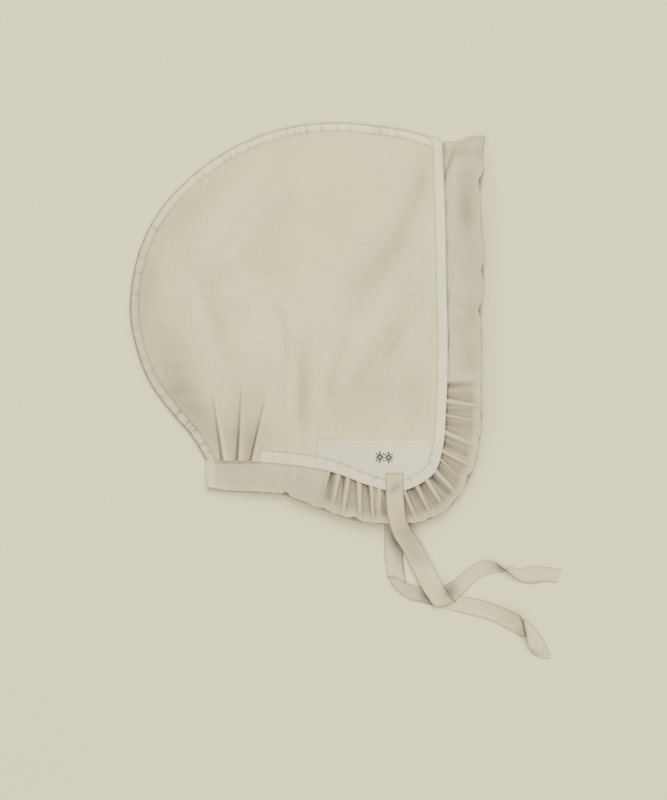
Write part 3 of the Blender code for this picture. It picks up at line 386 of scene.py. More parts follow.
@dataclass(frozen=True)
class Linen:
    """A woven cloth: its colour as linear light, its thread in mm, how uneven and soft it looks, and the
    tints of its painted shade and its stains.
    """

    name: str
    colour: tuple[float, float, float]
    thread: float = 0.62
    slub: float = 0.07
    mottle: float = 0.05
    weave_depth: float = 0.35
    sheen: float = 0.12
    roughness: float = 0.92
    slub_length: float = 22.0
    # Tint that the painted shade multiplies in, then the tint of the yellowed stains.
    painted_shade_tint: tuple[float, float, float] = (0.425, 0.398, 0.495)
    stained: tuple[float, float, float] = (0.98, 0.975, 0.80)

    def shade(self, factor: float) -> tuple[float, float, float, float]:
        """The colour times a factor."""
        return (*(c * factor for c in self.colour), 1.0)

    def material(self) -> bpy.types.Material:
        """Builds the material: slubbed threads both ways, soft mottling, painted shade and yellow stains from
        the mesh's point values, and a woven bump on the UV map.

        Returns:
            The material, made once for each name.
        """
        found = bpy.data.materials.get(self.name)
        if found:
            return found
        material = bpy.data.materials.new(self.name)
        material.use_nodes = True
        tree = material.node_tree
        shader = node_of(tree, "BSDF_PRINCIPLED")
        shader.inputs["Roughness"].default_value = self.roughness
        shader.inputs["Sheen Weight"].default_value = self.sheen
        shader.inputs["Sheen Roughness"].default_value = 0.5
        shader.inputs["Specular IOR Level"].default_value = 0.25

        def add(kind: str, **values: object) -> bpy.types.Node:
            """A node of that kind with properties set."""
            node = tree.nodes.new(kind)
            for key, value in values.items():
                setattr(node, key, value)
            return node

        def math_node(operation: str, a: object, b: object) -> bpy.types.NodeSocket:
            """One sum of two sockets or numbers."""
            node = add("ShaderNodeMath", operation=operation)
            for socket, value in zip(node.inputs, (a, b)):
                if isinstance(value, (int, float)):
                    socket.default_value = value
                elif value is not None:
                    tree.links.new(value, socket)
            return node.outputs[0]

        def noise(source: bpy.types.NodeSocket, scale: tuple, detail: float) -> bpy.types.NodeSocket:
            """Noise stretched by a scale for each direction."""
            mapping = add("ShaderNodeMapping")
            mapping.inputs["Scale"].default_value = scale
            tree.links.new(source, mapping.inputs["Vector"])
            texture = add("ShaderNodeTexNoise")
            texture.inputs["Scale"].default_value = 1.0
            texture.inputs["Detail"].default_value = detail
            tree.links.new(mapping.outputs["Vector"], texture.inputs["Vector"])
            return texture.outputs["Fac"]

        uv = add("ShaderNodeUVMap", uv_map="cloth").outputs["UV"]
        body = add("ShaderNodeTexCoord").outputs["Object"]
        split = add("ShaderNodeSeparateXYZ")
        tree.links.new(uv, split.inputs[0])
        turn = math.pi * UV_UNIT / self.thread
        warp = math_node("SINE", math_node("MULTIPLY", split.outputs["X"], turn), None)
        weft = math_node("SINE", math_node("MULTIPLY", split.outputs["Y"], turn), None)
        weave = math_node("MULTIPLY", warp, weft)
        fine, long = UV_UNIT / (self.thread * 1.6), UV_UNIT / self.slub_length
        slub_warp = noise(uv, (fine, long, 1.0), 1.0)
        slub_weft = noise(uv, (long, fine, 1.0), 1.0)
        slub = math_node("ADD", slub_warp, slub_weft)
        cloud = noise(body, (26.0, 26.0, 26.0), 3.0)

        def ramp(source: bpy.types.NodeSocket, low: float, high: float, spread: float) -> bpy.types.Node:
            """Two shades of the colour between two values of the source."""
            node = add("ShaderNodeValToRGB")
            node.color_ramp.elements[0].position = low
            node.color_ramp.elements[1].position = high
            node.color_ramp.elements[0].color = self.shade(1.0 - spread)
            node.color_ramp.elements[1].color = self.shade(1.0 + spread * 0.6)
            tree.links.new(source, node.inputs["Fac"])
            return node

        threads = ramp(math_node("MULTIPLY", slub, 0.5), 0.36, 0.64, self.slub * 2.0)
        clouds = ramp(cloud, 0.34, 0.66, self.mottle * 2.0)
        mix = add("ShaderNodeMix", data_type="RGBA", blend_type="MIX")
        mix.inputs["Factor"].default_value = 0.5
        tree.links.new(threads.outputs["Color"], mix.inputs["A"])
        tree.links.new(clouds.outputs["Color"], mix.inputs["B"])

        def tinted(source: object, values: str, tint: tuple, clamped: bool) -> bpy.types.NodeSocket:
            """The source multiplied by a tint as far as the mesh's point values of that name say."""
            amount = add("ShaderNodeAttribute", attribute_type="GEOMETRY", attribute_name=values)
            node = add("ShaderNodeMix", data_type="RGBA", blend_type="MULTIPLY", clamp_factor=clamped)
            node.inputs["B"].default_value = (*tint, 1.0)
            tree.links.new(amount.outputs["Fac"], node.inputs["Factor"])
            tree.links.new(source, node.inputs["A"])
            return node.outputs["Result"]

        # Painted shade: the colour multiplied towards the shade tint as far as the point values say, past 1
        # too; then the real yellow stains.
        painted_shading = tinted(mix.outputs["Result"], "age", self.painted_shade_tint, False)
        tree.links.new(tinted(painted_shading, "stain", self.stained, True), shader.inputs["Base Color"])
        raised = math_node("MULTIPLY", weave, 0.10), math_node("MULTIPLY", slub, 0.22)
        height = math_node("ADD", *raised)
        bump = add("ShaderNodeBump")
        bump.inputs["Strength"].default_value = self.weave_depth
        bump.inputs["Distance"].default_value = 0.0006
        tree.links.new(height, bump.inputs["Height"])
        tree.links.new(bump.outputs["Normal"], shader.inputs["Normal"])
        return material


# Brownish tint of the painted shade on the ruffle and its hem.
BROWN_PAINTED_SHADE = (0.43, 0.405, 0.455)
PANEL_LINEN = Linen("panel_finish", (0.775, 0.718, 0.435))
# The far panel: a darker copy of the near panel's linen, painted shade for the layer that lies underneath.
SHADED_UNDER_LINEN = Linen("under_panel_painted_shade", (0.70, 0.655, 0.39))
BAND_LINEN = Linen("band_finish", (0.79, 0.755, 0.55), thread=0.55, mottle=0.03, slub=0.05)
BINDING_LINEN = Linen("binding_finish", (0.875, 0.82, 0.555), thread=0.55, mottle=0.04, slub=0.05)
PATCH_LINEN = Linen("patch_finish", (0.77, 0.735, 0.555), thread=0.55, mottle=0.03, slub=0.05)
# Darker than the panel's linen: partly the thinner cloth's own tone, partly painted shade.
RUFFLE_LINEN = Linen(
    "ruffle_finish", (0.61, 0.56, 0.375), thread=0.48, mottle=0.06, slub=0.07, weave_depth=0.25, painted_shade_tint=BROWN_PAINTED_SHADE
)
HEM_LINEN = Linen(
    "hem_finish", (0.65, 0.60, 0.405), thread=0.48, mottle=0.03, slub=0.04, weave_depth=0.2, painted_shade_tint=BROWN_PAINTED_SHADE
)
TAPE = Linen("tape_finish", (0.69, 0.635, 0.40), thread=0.7, mottle=0.04, slub=0.07)
SEWING_THREAD = Linen(
    "sewing_thread", (0.50, 0.46, 0.33), thread=0.3, mottle=0.02, slub=0.02, weave_depth=0.1
)
MARK_THREAD = Linen("mark_thread", (0.055, 0.05, 0.04), thread=0.3, mottle=0.04, slub=0.02, weave_depth=0.1)


def cloth_uv(mesh: bpy.types.Mesh, uv_mm: Array) -> None:
    """Gives each corner the cloth coordinates of its vertex, one unit for each UV_UNIT of mm."""
    index = np.empty(len(mesh.loops), dtype=np.int32)
    mesh.loops.foreach_get("vertex_index", index)
    layer = mesh.uv_layers.new(name="cloth")
    layer.data.foreach_set("uv", (uv_mm[index] / UV_UNIT).astype(np.float32).ravel())


def point_values(mesh: bpy.types.Mesh, name: str, values: Array) -> None:
    """Stores one value from 0 to 1.5 for each point under that name."""
    layer = mesh.attributes.new(name, "FLOAT", "POINT")
    layer.data.foreach_set("value", np.clip(values, 0.0, 1.5).astype(np.float32))


def new_piece(
    name: str, points_mm: Array, quads: Array, uv_mm: Array, finish: Linen,
    age: Array | None = None,
) -> bpy.types.Object:
    """Makes one piece from points, four-cornered faces and cloth coordinates, riding on the cap.

    Args:
        name: the piece's name.
        points_mm: rows of x, y, z in millimetres.
        quads: rows of four indices, faces pointing out.
        uv_mm: a row of cloth coordinates for each point.
        finish: its cloth.
        age: how much painted shade each point has, from 0 to 1.

    Returns:
        The object, at the origin.
    """
    mesh = bpy.data.meshes.new(name)
    mesh.vertices.add(len(points_mm))
    mesh.vertices.foreach_set("co", (points_mm * MM).astype(np.float32).ravel())
    mesh.loops.add(quads.size)
    mesh.loops.foreach_set("vertex_index", quads.astype(np.int32).ravel())
    mesh.polygons.add(len(quads))
    mesh.polygons.foreach_set("loop_start", np.arange(0, quads.size, 4, dtype=np.int32))
    mesh.update(calc_edges=True)
    mesh.validate()
    cloth_uv(mesh, uv_mm)
    # Painted shade for each point, which the material darkens the colour by.
    point_values(mesh, "age", np.zeros(len(points_mm)) if age is None else age)
    mesh.shade_smooth()
    mesh.set_sharp_from_angle(angle=CREASE_ANGLE)
    mesh.materials.append(finish.material())
    obj = put(name, mesh)
    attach(obj, "root")
    return obj


def cloth_wall(
    name: str, upper: Array, lower: Array, uv_mm: Array, finish: Linen, age: Array | None = None
) -> bpy.types.Object:
    """A closed wall of cloth between two grids of points, with its four edges joined.

    Args:
        name: the piece's name.
        upper, lower: grids of points; upper minus lower points out of the upper face.
        uv_mm: grid of cloth coordinates.
        finish: as for new_piece.
        age: grid of how much painted shade the cloth has.

    Returns:
        The object.
    """
    rows, cols = upper.shape[:2]
    ids = np.arange(rows * cols).reshape(rows, cols)
    a, b, c, d = ids[:-1, :-1], ids[1:, :-1], ids[1:, 1:], ids[:-1, 1:]
    top = np.stack([a, b, c, d], axis=-1).reshape(-1, 4)
    low = np.stack([a, d, c, b], axis=-1).reshape(-1, 4) + rows * cols
    ring = np.concatenate([ids[:-1, 0], ids[-1, :-1], ids[:0:-1, -1], ids[0, :0:-1]])
    after = np.roll(ring, -1)
    side = np.stack([ring, ring + rows * cols, after + rows * cols, after], axis=-1)
    quads = np.vstack([top, low, side])
    middle = grid_normals(upper)[rows // 2, cols // 2]
    if np.dot(middle, upper[rows // 2, cols // 2] - lower[rows // 2, cols // 2]) < 0:
        quads = quads[:, ::-1]
    points = np.vstack([upper.reshape(-1, 3), lower.reshape(-1, 3)])
    uv = np.vstack([uv_mm.reshape(-1, 2), uv_mm.reshape(-1, 2)])
    painted_shading = None if age is None else np.tile(age.ravel(), 2)
    return new_piece(name, points, quads, uv, finish, painted_shading)


def strip_uv(grid: Array) -> Array:
    """Cloth coordinates of a strip: distance along its middle line, and across each row."""
    middle = grid[:, grid.shape[1] // 2]
    along = arc_lengths(middle)
    across = np.cumsum(np.linalg.norm(np.diff(grid, axis=1, prepend=grid[:, :1]), axis=2), axis=1)
    return np.dstack([np.broadcast_to(along[:, None], across.shape), across])


def cloth_strip(
    name: str, middle: Array, normal: Array, wall: Array | float, finish: Linen, age: Array
) -> bpy.types.Object:
    """A strip of cloth with its wall set off both ways from its middle surface.

    Args:
        name: the piece's name.
        middle, normal: grids of points and of unit normals.
        wall: half the cloth's thickness.
        finish, age: as for cloth_wall.

    Returns:
        The object.
    """
    upper, lower = middle + normal * wall, middle - normal * wall
    return cloth_wall(name, upper, lower, strip_uv(middle), finish, age)


def half_turn(first: Array, last: Array, turn: Array, rise: Array | float) -> Array:
    """Rows that lead from one row to another in half an ellipse, which bulges along +Y.

    Args:
        first, last: the rows that they join.
        turn: their angles, from 0 to pi.
        rise: how far each column bulges.

    Returns:
        Grid of points.
    """
    middle, half = (first + last) / 2, (first - last) / 2
    rows = middle[None] + half[None] * np.cos(turn)[:, None, None]
    rows[..., 1] += np.sin(turn)[:, None] * rise
    return rows


def stitches(
    name: str, centres: Array, ways: Array, ups: Array, length: float, radius: float,
    finish: Linen,
) -> bpy.types.Object:
    """Short threads that arch over the cloth and dive into it at both ends.

    Each is a tube of seven rings along t from -1 to 1, whose radius is (1 - t^4) of the thread's, and whose
    middle stands (1 - t^2) of 1.3 radii above its ends.

    Args:
        name: the piece's name.
        centres, ways, ups: rows with each stitch's middle, direction and outward normal, in millimetres.
        length, radius: the thread's visible length and radius in millimetres.
        finish: as for new_piece.

    Returns:
        The object.
    """
    rings, sides = 7, 6
    t = np.linspace(-1.0, 1.0, rings)
    turn = np.arange(sides) * 2 * math.pi / sides
    size = radius * np.maximum(1 - t**4, 0.12)
    rise = radius * (1.3 * (1 - t**2) - 0.5)
    ways = ways / np.linalg.norm(ways, axis=1, keepdims=True)
    side = np.cross(ups, ways)
    side /= np.linalg.norm(side, axis=1, keepdims=True)
    up = np.cross(ways, side)
    spot = (
        centres[:, None, None]
        + ways[:, None, None] * (t * length / 2)[None, :, None, None]
        + up[:, None, None] * (rise[:, None] + size[:, None] * np.sin(turn)[None])[None, :, :, None]
        + side[:, None, None] * (size[:, None] * np.cos(turn)[None])[None, :, :, None]
    )
    ends = np.array([[0, 3, 2, 1], [0, 5, 4, 3]])
    caps = np.vstack([ends, ends[:, ::-1] + (rings - 1) * sides])
    one = np.vstack([tube_faces(rings, sides), caps])[:, ::-1]
    count = len(centres)
    quads = (one[None] + (np.arange(count) * rings * sides)[:, None, None]).reshape(-1, 4)
    uv = np.stack(np.meshgrid(t * length / 2, turn * radius, indexing="ij"), -1)
    uv = np.broadcast_to(uv, (count, rings, sides, 2)).reshape(-1, 2)
    return new_piece(name, spot.reshape(-1, 3), quads, uv, finish)


def sewn_line(
    name: str, middle: Array, normal: Array, wall: float, spots: Array, column: int,
    length: float, radius: float,
) -> bpy.types.Object:
    """A line of stitches along one column of a strip, on its upper face.

    Args:
        name: the piece's name.
        middle, normal, wall: the strip, as for cloth_strip.
        spots: the rows that get a stitch.
        column: the column.
        length, radius: as for stitches.

    Returns:
        The stitches.
    """
    up, ways = normal[spots, column], middle[spots + 1, column] - middle[spots - 1, column]
    centres = middle[spots, column] + up * wall
    return stitches(name, centres, ways, up, length, radius, SEWING_THREAD)


@dataclass
class EdgeLine:
    """A smooth edge of the cap in plan, with its inward directions."""

    stations: tuple
    points: Array = field(init=False)
    along: Array = field(init=False)
    inward: Array = field(init=False)

    def __post_init__(self) -> None:
        """Works out the dense line, its distances and its inward directions, square to its right."""
        self.points = smooth_curve(np.array(self.stations), 14)
        self.along = arc_lengths(self.points)
        way = np.gradient(self.points, axis=0)
        way /= np.linalg.norm(way, axis=1, keepdims=True)
        self.inward = np.stack([way[:, 1], -way[:, 0]], axis=-1)

    @property
    def length(self) -> float:
        """The whole length in millimetres."""
        return float(self.along[-1])

    def at(self, along: Array) -> tuple[Array, Array]:
        """Points and unit inward directions at distances along the line."""
        rows = along_line(np.hstack([self.points, self.inward]), self.along, along)
        return rows[..., :2], rows[..., 2:] / np.linalg.norm(rows[..., 2:], axis=-1, keepdims=True)

    def inset(self, depth: float) -> Array:
        """The line moved inwards by a depth."""
        return self.points + self.inward * depth


@dataclass
class CapForm:
    """The shape that the cloth takes: the two edges in plan and the height of each layer."""

    seam: EdgeLine = field(default_factory=lambda: EdgeLine(SEAM_STATIONS))
    rim: EdgeLine = field(default_factory=lambda: EdgeLine(RIM_STATIONS))
    seam_height: float = 2.3
    seam_ease: float = 1.3
    dome_height: float = 37.0
    dome_reach: float = 34.0
    dome_power: float = 1.4
    rim_reach: float = 55.0
    cloth: float = 0.42
    gap: float = 0.12
    far_rise: float = 0.62
    band_width: float = 7.2
    binding_width: float = 6.3
    nape_slant: float = 0.62
    chunk: int = 6000

    def distance(self, xy: Array, line: EdgeLine, values: Array) -> tuple[Array, Array]:
        """Smooth distance to an edge, and the mean of values along it weighted to its nearest parts.

        The distance is (2/pi times the sum of step / d^4) ^ (-1/3), which is the plain distance beside a
        straight line and has no crease between two sides, and within a few millimetres the plain distance.

        Args:
            xy: rows of plan points.
            line: the edge.
            values: one value for each point of the edge.

        Returns:
            The distances, and the weighted values.
        """
        curve = line.points
        a, b = curve[:-1], curve[1:]
        ab, middle = b - a, (a + b) / 2
        step = np.linalg.norm(ab, axis=1)
        mean = (values[1:] + values[:-1]) / 2
        out = np.empty((len(xy), 2))
        for i in range(0, len(xy), self.chunk):
            p = xy[i : i + self.chunk]
            dx, dy = p[:, :1] - middle[:, 0], p[:, 1:] - middle[:, 1]
            weight = step / (dx * dx + dy * dy + 0.5) ** 2
            total = weight.sum(axis=1)
            far = (total * 2 / math.pi) ** (-1.0 / 3.0)
            ax, ay = p[:, :1] - a[:, 0], p[:, 1:] - a[:, 1]
            t = np.clip((ax * ab[:, 0] + ay * ab[:, 1]) / step**2, 0.0, 1.0)
            near = np.sqrt(((ax - t * ab[:, 0]) ** 2 + (ay - t * ab[:, 1]) ** 2).min(axis=1))
            blend = soft_step(near, 3.0, 12.0)
            out[i : i + self.chunk, 0] = near * (1 - blend) + far * blend
            out[i : i + self.chunk, 1] = (weight * mean).sum(axis=1) / total
        return out[:, 0], out[:, 1]

    def near(self, plan: Array, tucked: bool = True) -> Array:
        """Height of the near panel's upper face over plan points.

        The seam height, plus 1 - exp(-(distance from the seam / reach) ^ power) of the height that the cloth
        takes there, plus soft folds, tucks, puckers by the seam and a slight rumple.

        Args:
            plan: any grid of plan points.
            tucked: whether the nape tucks count.

        Returns:
            The heights, in the grid's shape.
        """
        xy = plan.reshape(-1, 2)
        table = np.array(RIM_RISE, dtype=float)
        rise = np.interp(self.rim.along, table[:, 0], table[:, 1])
        from_seam, seam_along = self.distance(xy, self.seam, self.seam.along)
        from_rim, rim_rise = self.distance(xy, self.rim, rise)
        inner = 1 - np.exp(-from_rim / self.rim_reach)
        lifted = 1 - np.exp(-((from_seam / self.dome_reach) ** self.dome_power))
        z = self.seam_height + self.seam_ease * soft_step(from_seam, 0.0, 30.0)
        z += lifted * (rim_rise * (1 - inner) + self.dome_height * inner)
        z += self.soft_folds(xy) * soft_step(from_seam, 8.0, 26.0) * soft_step(from_rim, 4.0, 22.0)
        if tucked:
            z += self.tucks(xy) * soft_step(from_seam, 3.0, 10.0)
        pucker = ripple(seam_along, 7.5, 1.3) * np.clip(from_seam / 4.0, 0.0, 1.0) * np.exp(-from_seam / 10.0)
        z += 0.55 * pucker * soft_step(from_rim, 2.0, 12.0)
        rumple = ripple(xy[:, 0] + 0.35 * xy[:, 1], 41.0, 2.1) * ripple(xy[:, 1] - 0.2 * xy[:, 0], 47.0, 0.8)
        z += 0.8 * rumple * soft_step(from_seam, 6.0, 30.0) * soft_step(from_rim, 3.0, 20.0)
        return z.reshape(plan.shape[:-1])

    def soft_folds(self, xy: Array) -> Array:
        """Sum of the soft folds: a bell across each fold's line, fading out at both of its ends."""
        total = np.zeros(len(xy))
        for ax, ay, bx, by, half, height in SOFT_FOLDS:
            a, ab = np.array([ax, ay]), np.array([bx - ax, by - ay])
            t = ((xy - a) @ ab) / (ab @ ab)
            d = np.linalg.norm(xy - a - np.clip(t, 0.0, 1.0)[:, None] * ab, axis=1)
            ends = 0.35 + 0.65 * np.sin(np.clip(t, 0.0, 1.0) * math.pi) ** 0.7
            total += height * ends * bell(d, half)
        return total

    def tucks(self, xy: Array) -> Array:
        """Sum of the nape tucks: a slope down to a valley, a steep rise and a low ridge, closing upwards."""
        total = np.zeros(len(xy))
        for tuck in TUCKS:
            up, d = beside_tuck(xy, tuck)
            fade, wide = (1 - up) ** 0.65, 0.45 + 0.55 * (1 - up)
            valley = np.where(d < 0, bell(d, 3.6 * wide), bell(d, 0.75 * wide))
            total += tuck[4] * fade * (0.75 * bell(d - 2.3 * wide, 1.7 * wide) - valley)
        return total

    def near_painted_shade(self, plan: Array) -> Array:
        """Painted shade on the near panel: most in the tucks, inside the back seam and beside it, with
        painted light on the tucks' ridges and at spots of negative depth.

        Args:
            plan: any grid of plan points.

        Returns:
            Values from 0 to 1 in the grid's shape.
        """
        xy = plan.reshape(-1, 2)
        from_seam, along = self.distance(xy, self.seam, self.seam.along)
        total = 0.12 + shade_and_stain_spots(xy, PANEL_PAINTED_SHADE)
        # Painted shade in each tuck's valley and to its left, painted light on its ridge.
        for tuck in TUCKS:
            up, d = beside_tuck(xy, tuck)
            wide = 0.35 + 0.65 * (1 - up)
            fade = (1 - up) ** 0.6 * (xy[:, 1] < tuck[3])
            total += fade * (0.90 * bell(d + 0.2, 0.80 * wide) - 0.35 * bell(d - 2.2 * wide, 1.5 * wide))
            total += fade * 0.34 * np.where(d < 0, bell(d, 6.5 * wide), 0.0)
        # Painted shade along the crown seam, most at the back, and a dark line beside the binding's edge.
        back = bell(along - 150.0, 120.0)
        total += (0.08 + 0.24 * back) * np.exp(-from_seam / 9.0) + 0.42 * bell(from_seam - 6.3, 0.7)
        return total.reshape(plan.shape[:-1])

    def tie_lift(self, plan: Array) -> Array:
        """How far the far layers rise where they pass over the far tie's sewn end."""
        x, y = plan[..., 0], plan[..., 1]
        return 0.6 * window(x, 16.9, 25.4, 40.8, 49.3) * (1 - soft_step(y, -61.4, -52.4))

    def from_edge(self, plan: Array, line: EdgeLine) -> Array:
        """Distance of a grid's plan points from an edge, in the grid's shape."""
        return self.distance(plan.reshape(-1, 2), line, line.along)[0].reshape(plan.shape[:-1])

    def far(self, plan: Array) -> Array:
        """Height of the far panel's underside: flat, but raised over band, binding and far tie."""
        by_seam = 1 - soft_step(self.from_edge(plan, self.seam), 8.0, 20.0)
        by_rim = 1 - soft_step(self.from_edge(plan, self.rim), 9.0, 21.0)
        return 0.04 + np.maximum(by_seam, by_rim) * self.far_rise + self.tie_lift(plan)

    def rim_frame(self, along: Array) -> tuple[Array, Array]:
        """Rim points and inward directions, slanted along the crown at the fold and the seam at the nape."""
        point, inward = self.rim.at(along)
        fold = bell(along, 9.0)[:, None]
        nape = bell(self.rim.length - END_MARGIN - 0.2 - along, 9.0)[:, None]
        return point, inward + fold * np.array([0.0, FOLD_SLANT]) + nape * np.array([-self.nape_slant, 0.0])

    def laid(self, plan: Array) -> tuple[Array, Array]:
        """The near panel's upper face over a grid of plan points, and its normals, all turned up."""
        surface = np.dstack([plan, self.near(plan)])
        normal = grid_normals(surface)
        return surface, normal * np.where(normal[..., 2:] < 0, -1.0, 1.0)


@dataclass
class SidePanels:
    """The two side panels, which meet in the crown seam and are level where the binding grips them."""

    form: CapForm
    near_steps: tuple[int, int] = (250, 176)
    far_steps: tuple[int, int] = (90, 70)
    column_spans: tuple = ((0.25, 0.16), (0.45, 0.34), (1.0, 0.50))
    row_spans: tuple = ((0.08, 0.14), (0.36, 0.32), (0.86, 0.36), (1.0, 0.18))
    seam_inset: float = 0.9
    rim_inset: float = 0.25
    back_half: float = 11.0
    gripped: tuple[float, float] = (3.0, 6.0)
    near_flat: tuple[float, float] = (232.0, 262.0)
    far_flat: tuple[float, float] = (222.0, 258.0)

    def outline(self) -> tuple[Array, Array]:
        """The panel's own edge: seam and rim moved inwards, meeting at the nape and at the fold."""
        seam, rim = self.form.seam.inset(self.seam_inset), self.form.rim.inset(self.rim_inset)
        nape, fold = (rim[-1] + seam[0]) / 2, (rim[0] + seam[-1]) / 2
        for curve, start, end in ((seam, nape, fold), (rim, fold, nape)):
            s = arc_lengths(curve)
            start_move, end_move = start - curve[0], end - curve[-1]
            curve += np.exp(-s / 3.0)[:, None] * start_move
            curve += np.exp(-(s[-1] - s) / 3.0)[:, None] * end_move
        return seam, rim

    def grid(self, columns: Array, rows: Array) -> Array:
        """Plan grid as a Coons patch: columns run up from the lower edge, rows forward to the face.

        Args:
            columns, rows: fractions from 0 to 1.

        Returns:
            Grid of plan points.
        """
        seam, rim = self.outline()
        seam_s, rim_s = arc_lengths(seam), arc_lengths(rim)
        back, half = seam_s[int(np.argmin(seam[:, 0]))], self.back_half
        corner = rim_s[int(np.argmin(np.linalg.norm(rim - np.array(JAW_CORNER), axis=1)))]
        dense = np.linspace(0.0, 1.0, 700)
        lower = np.vstack([
            along_line(seam, seam_s, (back - half) * (1 - dense)),
            along_line(rim, rim_s, rim_s[-1] + (corner - rim_s[-1]) * dense)[1:],
        ])
        crown = along_line(seam, seam_s, back + half + (seam_s[-1] - back - half) * dense)
        left = along_line(seam, seam_s, back - half + 2 * half * rows)
        right = along_line(rim, rim_s, corner * (1 - rows))

        def by_x(line: Array) -> Array:
            """Points of the line at the columns' shares of its width."""
            return along_line(line, line[:, 0], line[0, 0] + (line[-1, 0] - line[0, 0]) * columns)

        return coons(by_x(lower), by_x(crown), left, right, columns, rows)

    def build(self) -> tuple[bpy.types.Object, bpy.types.Object]:
        """Builds both panels in place of their plain solids.

        Returns:
            The near and the far panel.
        """
        nc, nr = self.near_steps
        columns = fractions(*((end, int(nc * part)) for end, part in self.column_spans))
        rows = fractions(*((end, int(nr * part)) for end, part in self.row_spans))
        plan = self.grid(columns, rows)
        upper, normal = self.form.laid(plan)
        level = 1 - soft_step(self.form.from_edge(plan, self.form.seam), *self.gripped)[..., None]
        normal = normal * (1 - level) + np.array([0.0, 0.0, 1.0]) * level
        lower, age = upper - normal * self.form.cloth, self.form.near_painted_shade(plan)
        near = cloth_wall("near_panel_cloth", upper, lower, plan, PANEL_LINEN, age)
        point_values(near.data, "stain", np.tile(shade_and_stain_spots(plan.reshape(-1, 2), STAINS), 2))
        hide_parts("near_side_panel")
        plan = self.grid(fractions((1.0, self.far_steps[0])), fractions((1.0, self.far_steps[1])))
        low = np.dstack([plan, self.form.far(plan)])
        high = low + np.array([0.0, 0.0, self.form.cloth])
        far = cloth_wall("far_panel_cloth", high, low, plan, SHADED_UNDER_LINEN)
        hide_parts("far_side_panel")
        LOG.info("side panels: %d points across the near one", upper.shape[0] * upper.shape[1])
        return near, far


@dataclass
class SeamBinding:
    """The narrow binding folded over both panels' edges along the crown seam, slightly puckered."""

    form: CapForm
    step: float = 0.7
    stitch_pitch: float = 3.1
    pinches: tuple = (
        6.0, 11.6, 21.8, 25.0, 28.8, 38.2, 131.9, 147.9, 163.4, 182.4, 235.6, 254.0, 258.5, 273.8, 309.1,
        312.5, 318.0, 328.9, 339.7, 348.8, 366.0, 370.0, 374.5, 382.5,
    )
    lap: float = 303.7
    cut_width: float = 15.0

    def section(self, along: Array) -> tuple[Array, Array]:
        """The strip's middle surface, from the inner edge under the cap, round its outer edge, to the top.

        Across the strip the path is a flat leg at half the cloth's height, half an ellipse round the edge,
        and a leg that follows the near panel; puckers are uneven waves along it, deepest at the pinches.

        Args:
            along: distances along the seam.

        Returns:
            The grid, and the distance across at which each column lies.
        """
        form, t = self.form, self.form.cloth
        base, inward = form.seam.at(along)
        level = bell(along, 10.0)[:, None]
        upright = bell(form.seam.length - END_MARGIN - along, 9.0)[:, None]
        nape_way, fold_way = np.array([1.17, 0.0]), np.array([0.0, -1.05])
        inward = inward + level * (nape_way - inward) + upright * (fold_way - inward)
        edge = 0.28 + 0.16 * ripple(along, 9.0, 2.7)[:, None]
        legs = np.linspace(form.binding_width, 1.1, 5)
        turn = np.linspace(-90.0, 90.0, 9)[1:-1] * math.pi / 180.0
        tops = np.linspace(1.1, form.binding_width, 11)
        under = np.concatenate([legs, 1.1 - np.cos(turn) * 0.85, tops])
        outer = under[None, :, None] < 3.0
        plan = base[:, None] + inward[:, None] * (under[None, :, None] + edge[:, :, None] * outer)
        top_plan = base[:, None] + inward[:, None] * tops[None, :, None]
        lapped = soft_step(along, self.lap - 0.3, self.lap + 0.3) * bell(along - self.lap, 6.0)
        wave = 0.14 * ripple(along, 5.2, 0.9) - 0.40 * self.pinched(along) + 0.22 * lapped
        arch = np.sin(np.linspace(0.15, 1.0, len(tops)) * math.pi * 0.8)
        height = form.near(top_plan) + form.gap + t / 2 + wave[:, None] * arch[None, :]
        low = np.full((len(along), len(legs)), t / 2 + 0.02)
        first = height[:, :1]
        mid, half = (first + low[:, :1]) / 2, (first - low[:, :1]) / 2
        z = np.hstack([low, mid + half * np.sin(turn)[None, :], height])
        return np.dstack([plan, z]), under

    def pinched(self, along: Array) -> Array:
        """From 0 to 1 at the places where the binding is pinched."""
        return np.clip(sum(bell(along - s, 0.9) for s in self.pinches), 0.0, 1.0)

    def painted_shading(self, along: Array, under: Array) -> Array:
        """Painted shade on the binding: along both edges, in its pinches, at the lap and more near the nape
        end.

        Args:
            along: distances along the seam.
            under: distance across of each column, the last eleven on top.

        Returns:
            Values from 0 to 1 for the grid.
        """
        top = np.arange(len(under)) >= len(under) - 11
        across = np.where(top, under, 0.0)[None, :]
        edge = np.where(top, 0.5 * np.exp(-(under - 1.1) / 0.35), 0.75)[None, :]
        sewn = 0.40 * bell(across - self.form.binding_width, 0.5)
        inner = soft_step(across, 1.5, 5.0)
        lap = bell(along - self.lap, 0.45)[:, None]
        marks = 0.55 * self.pinched(along)[:, None] * (0.35 + 0.65 * inner) + 0.55 * lap
        back = 0.38 * (1 - soft_step(along, 130.0, 240.0))[:, None]
        return 0.04 + back + edge + sewn + marks + 0.10 * ripple(along, 12.0, 3.7)[:, None]

    def build(self) -> bpy.types.Object:
        """Builds the binding and its stitches.

        Returns:
            The binding.
        """
        form = self.form
        along = np.arange(0.4, form.seam.length - END_MARGIN, self.step)
        grid, under = self.section(along)
        normal, sewn, wall = grid_normals(grid), -3, form.cloth / 2
        if normal[len(along) // 2, sewn, 2] < 0:
            normal = -normal
        age = self.painted_shading(along, under)
        obj = cloth_strip("seam_binding_cloth", grid, normal, wall, BINDING_LINEN, age)
        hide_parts("crown_seam_binding")
        spots = np.arange(3.0, len(along) - 3, self.stitch_pitch / self.step).astype(int)
        thread = sewn_line("seam_binding_stitches", grid, normal, wall, spots, sewn, 1.7, 0.16)
        return obj


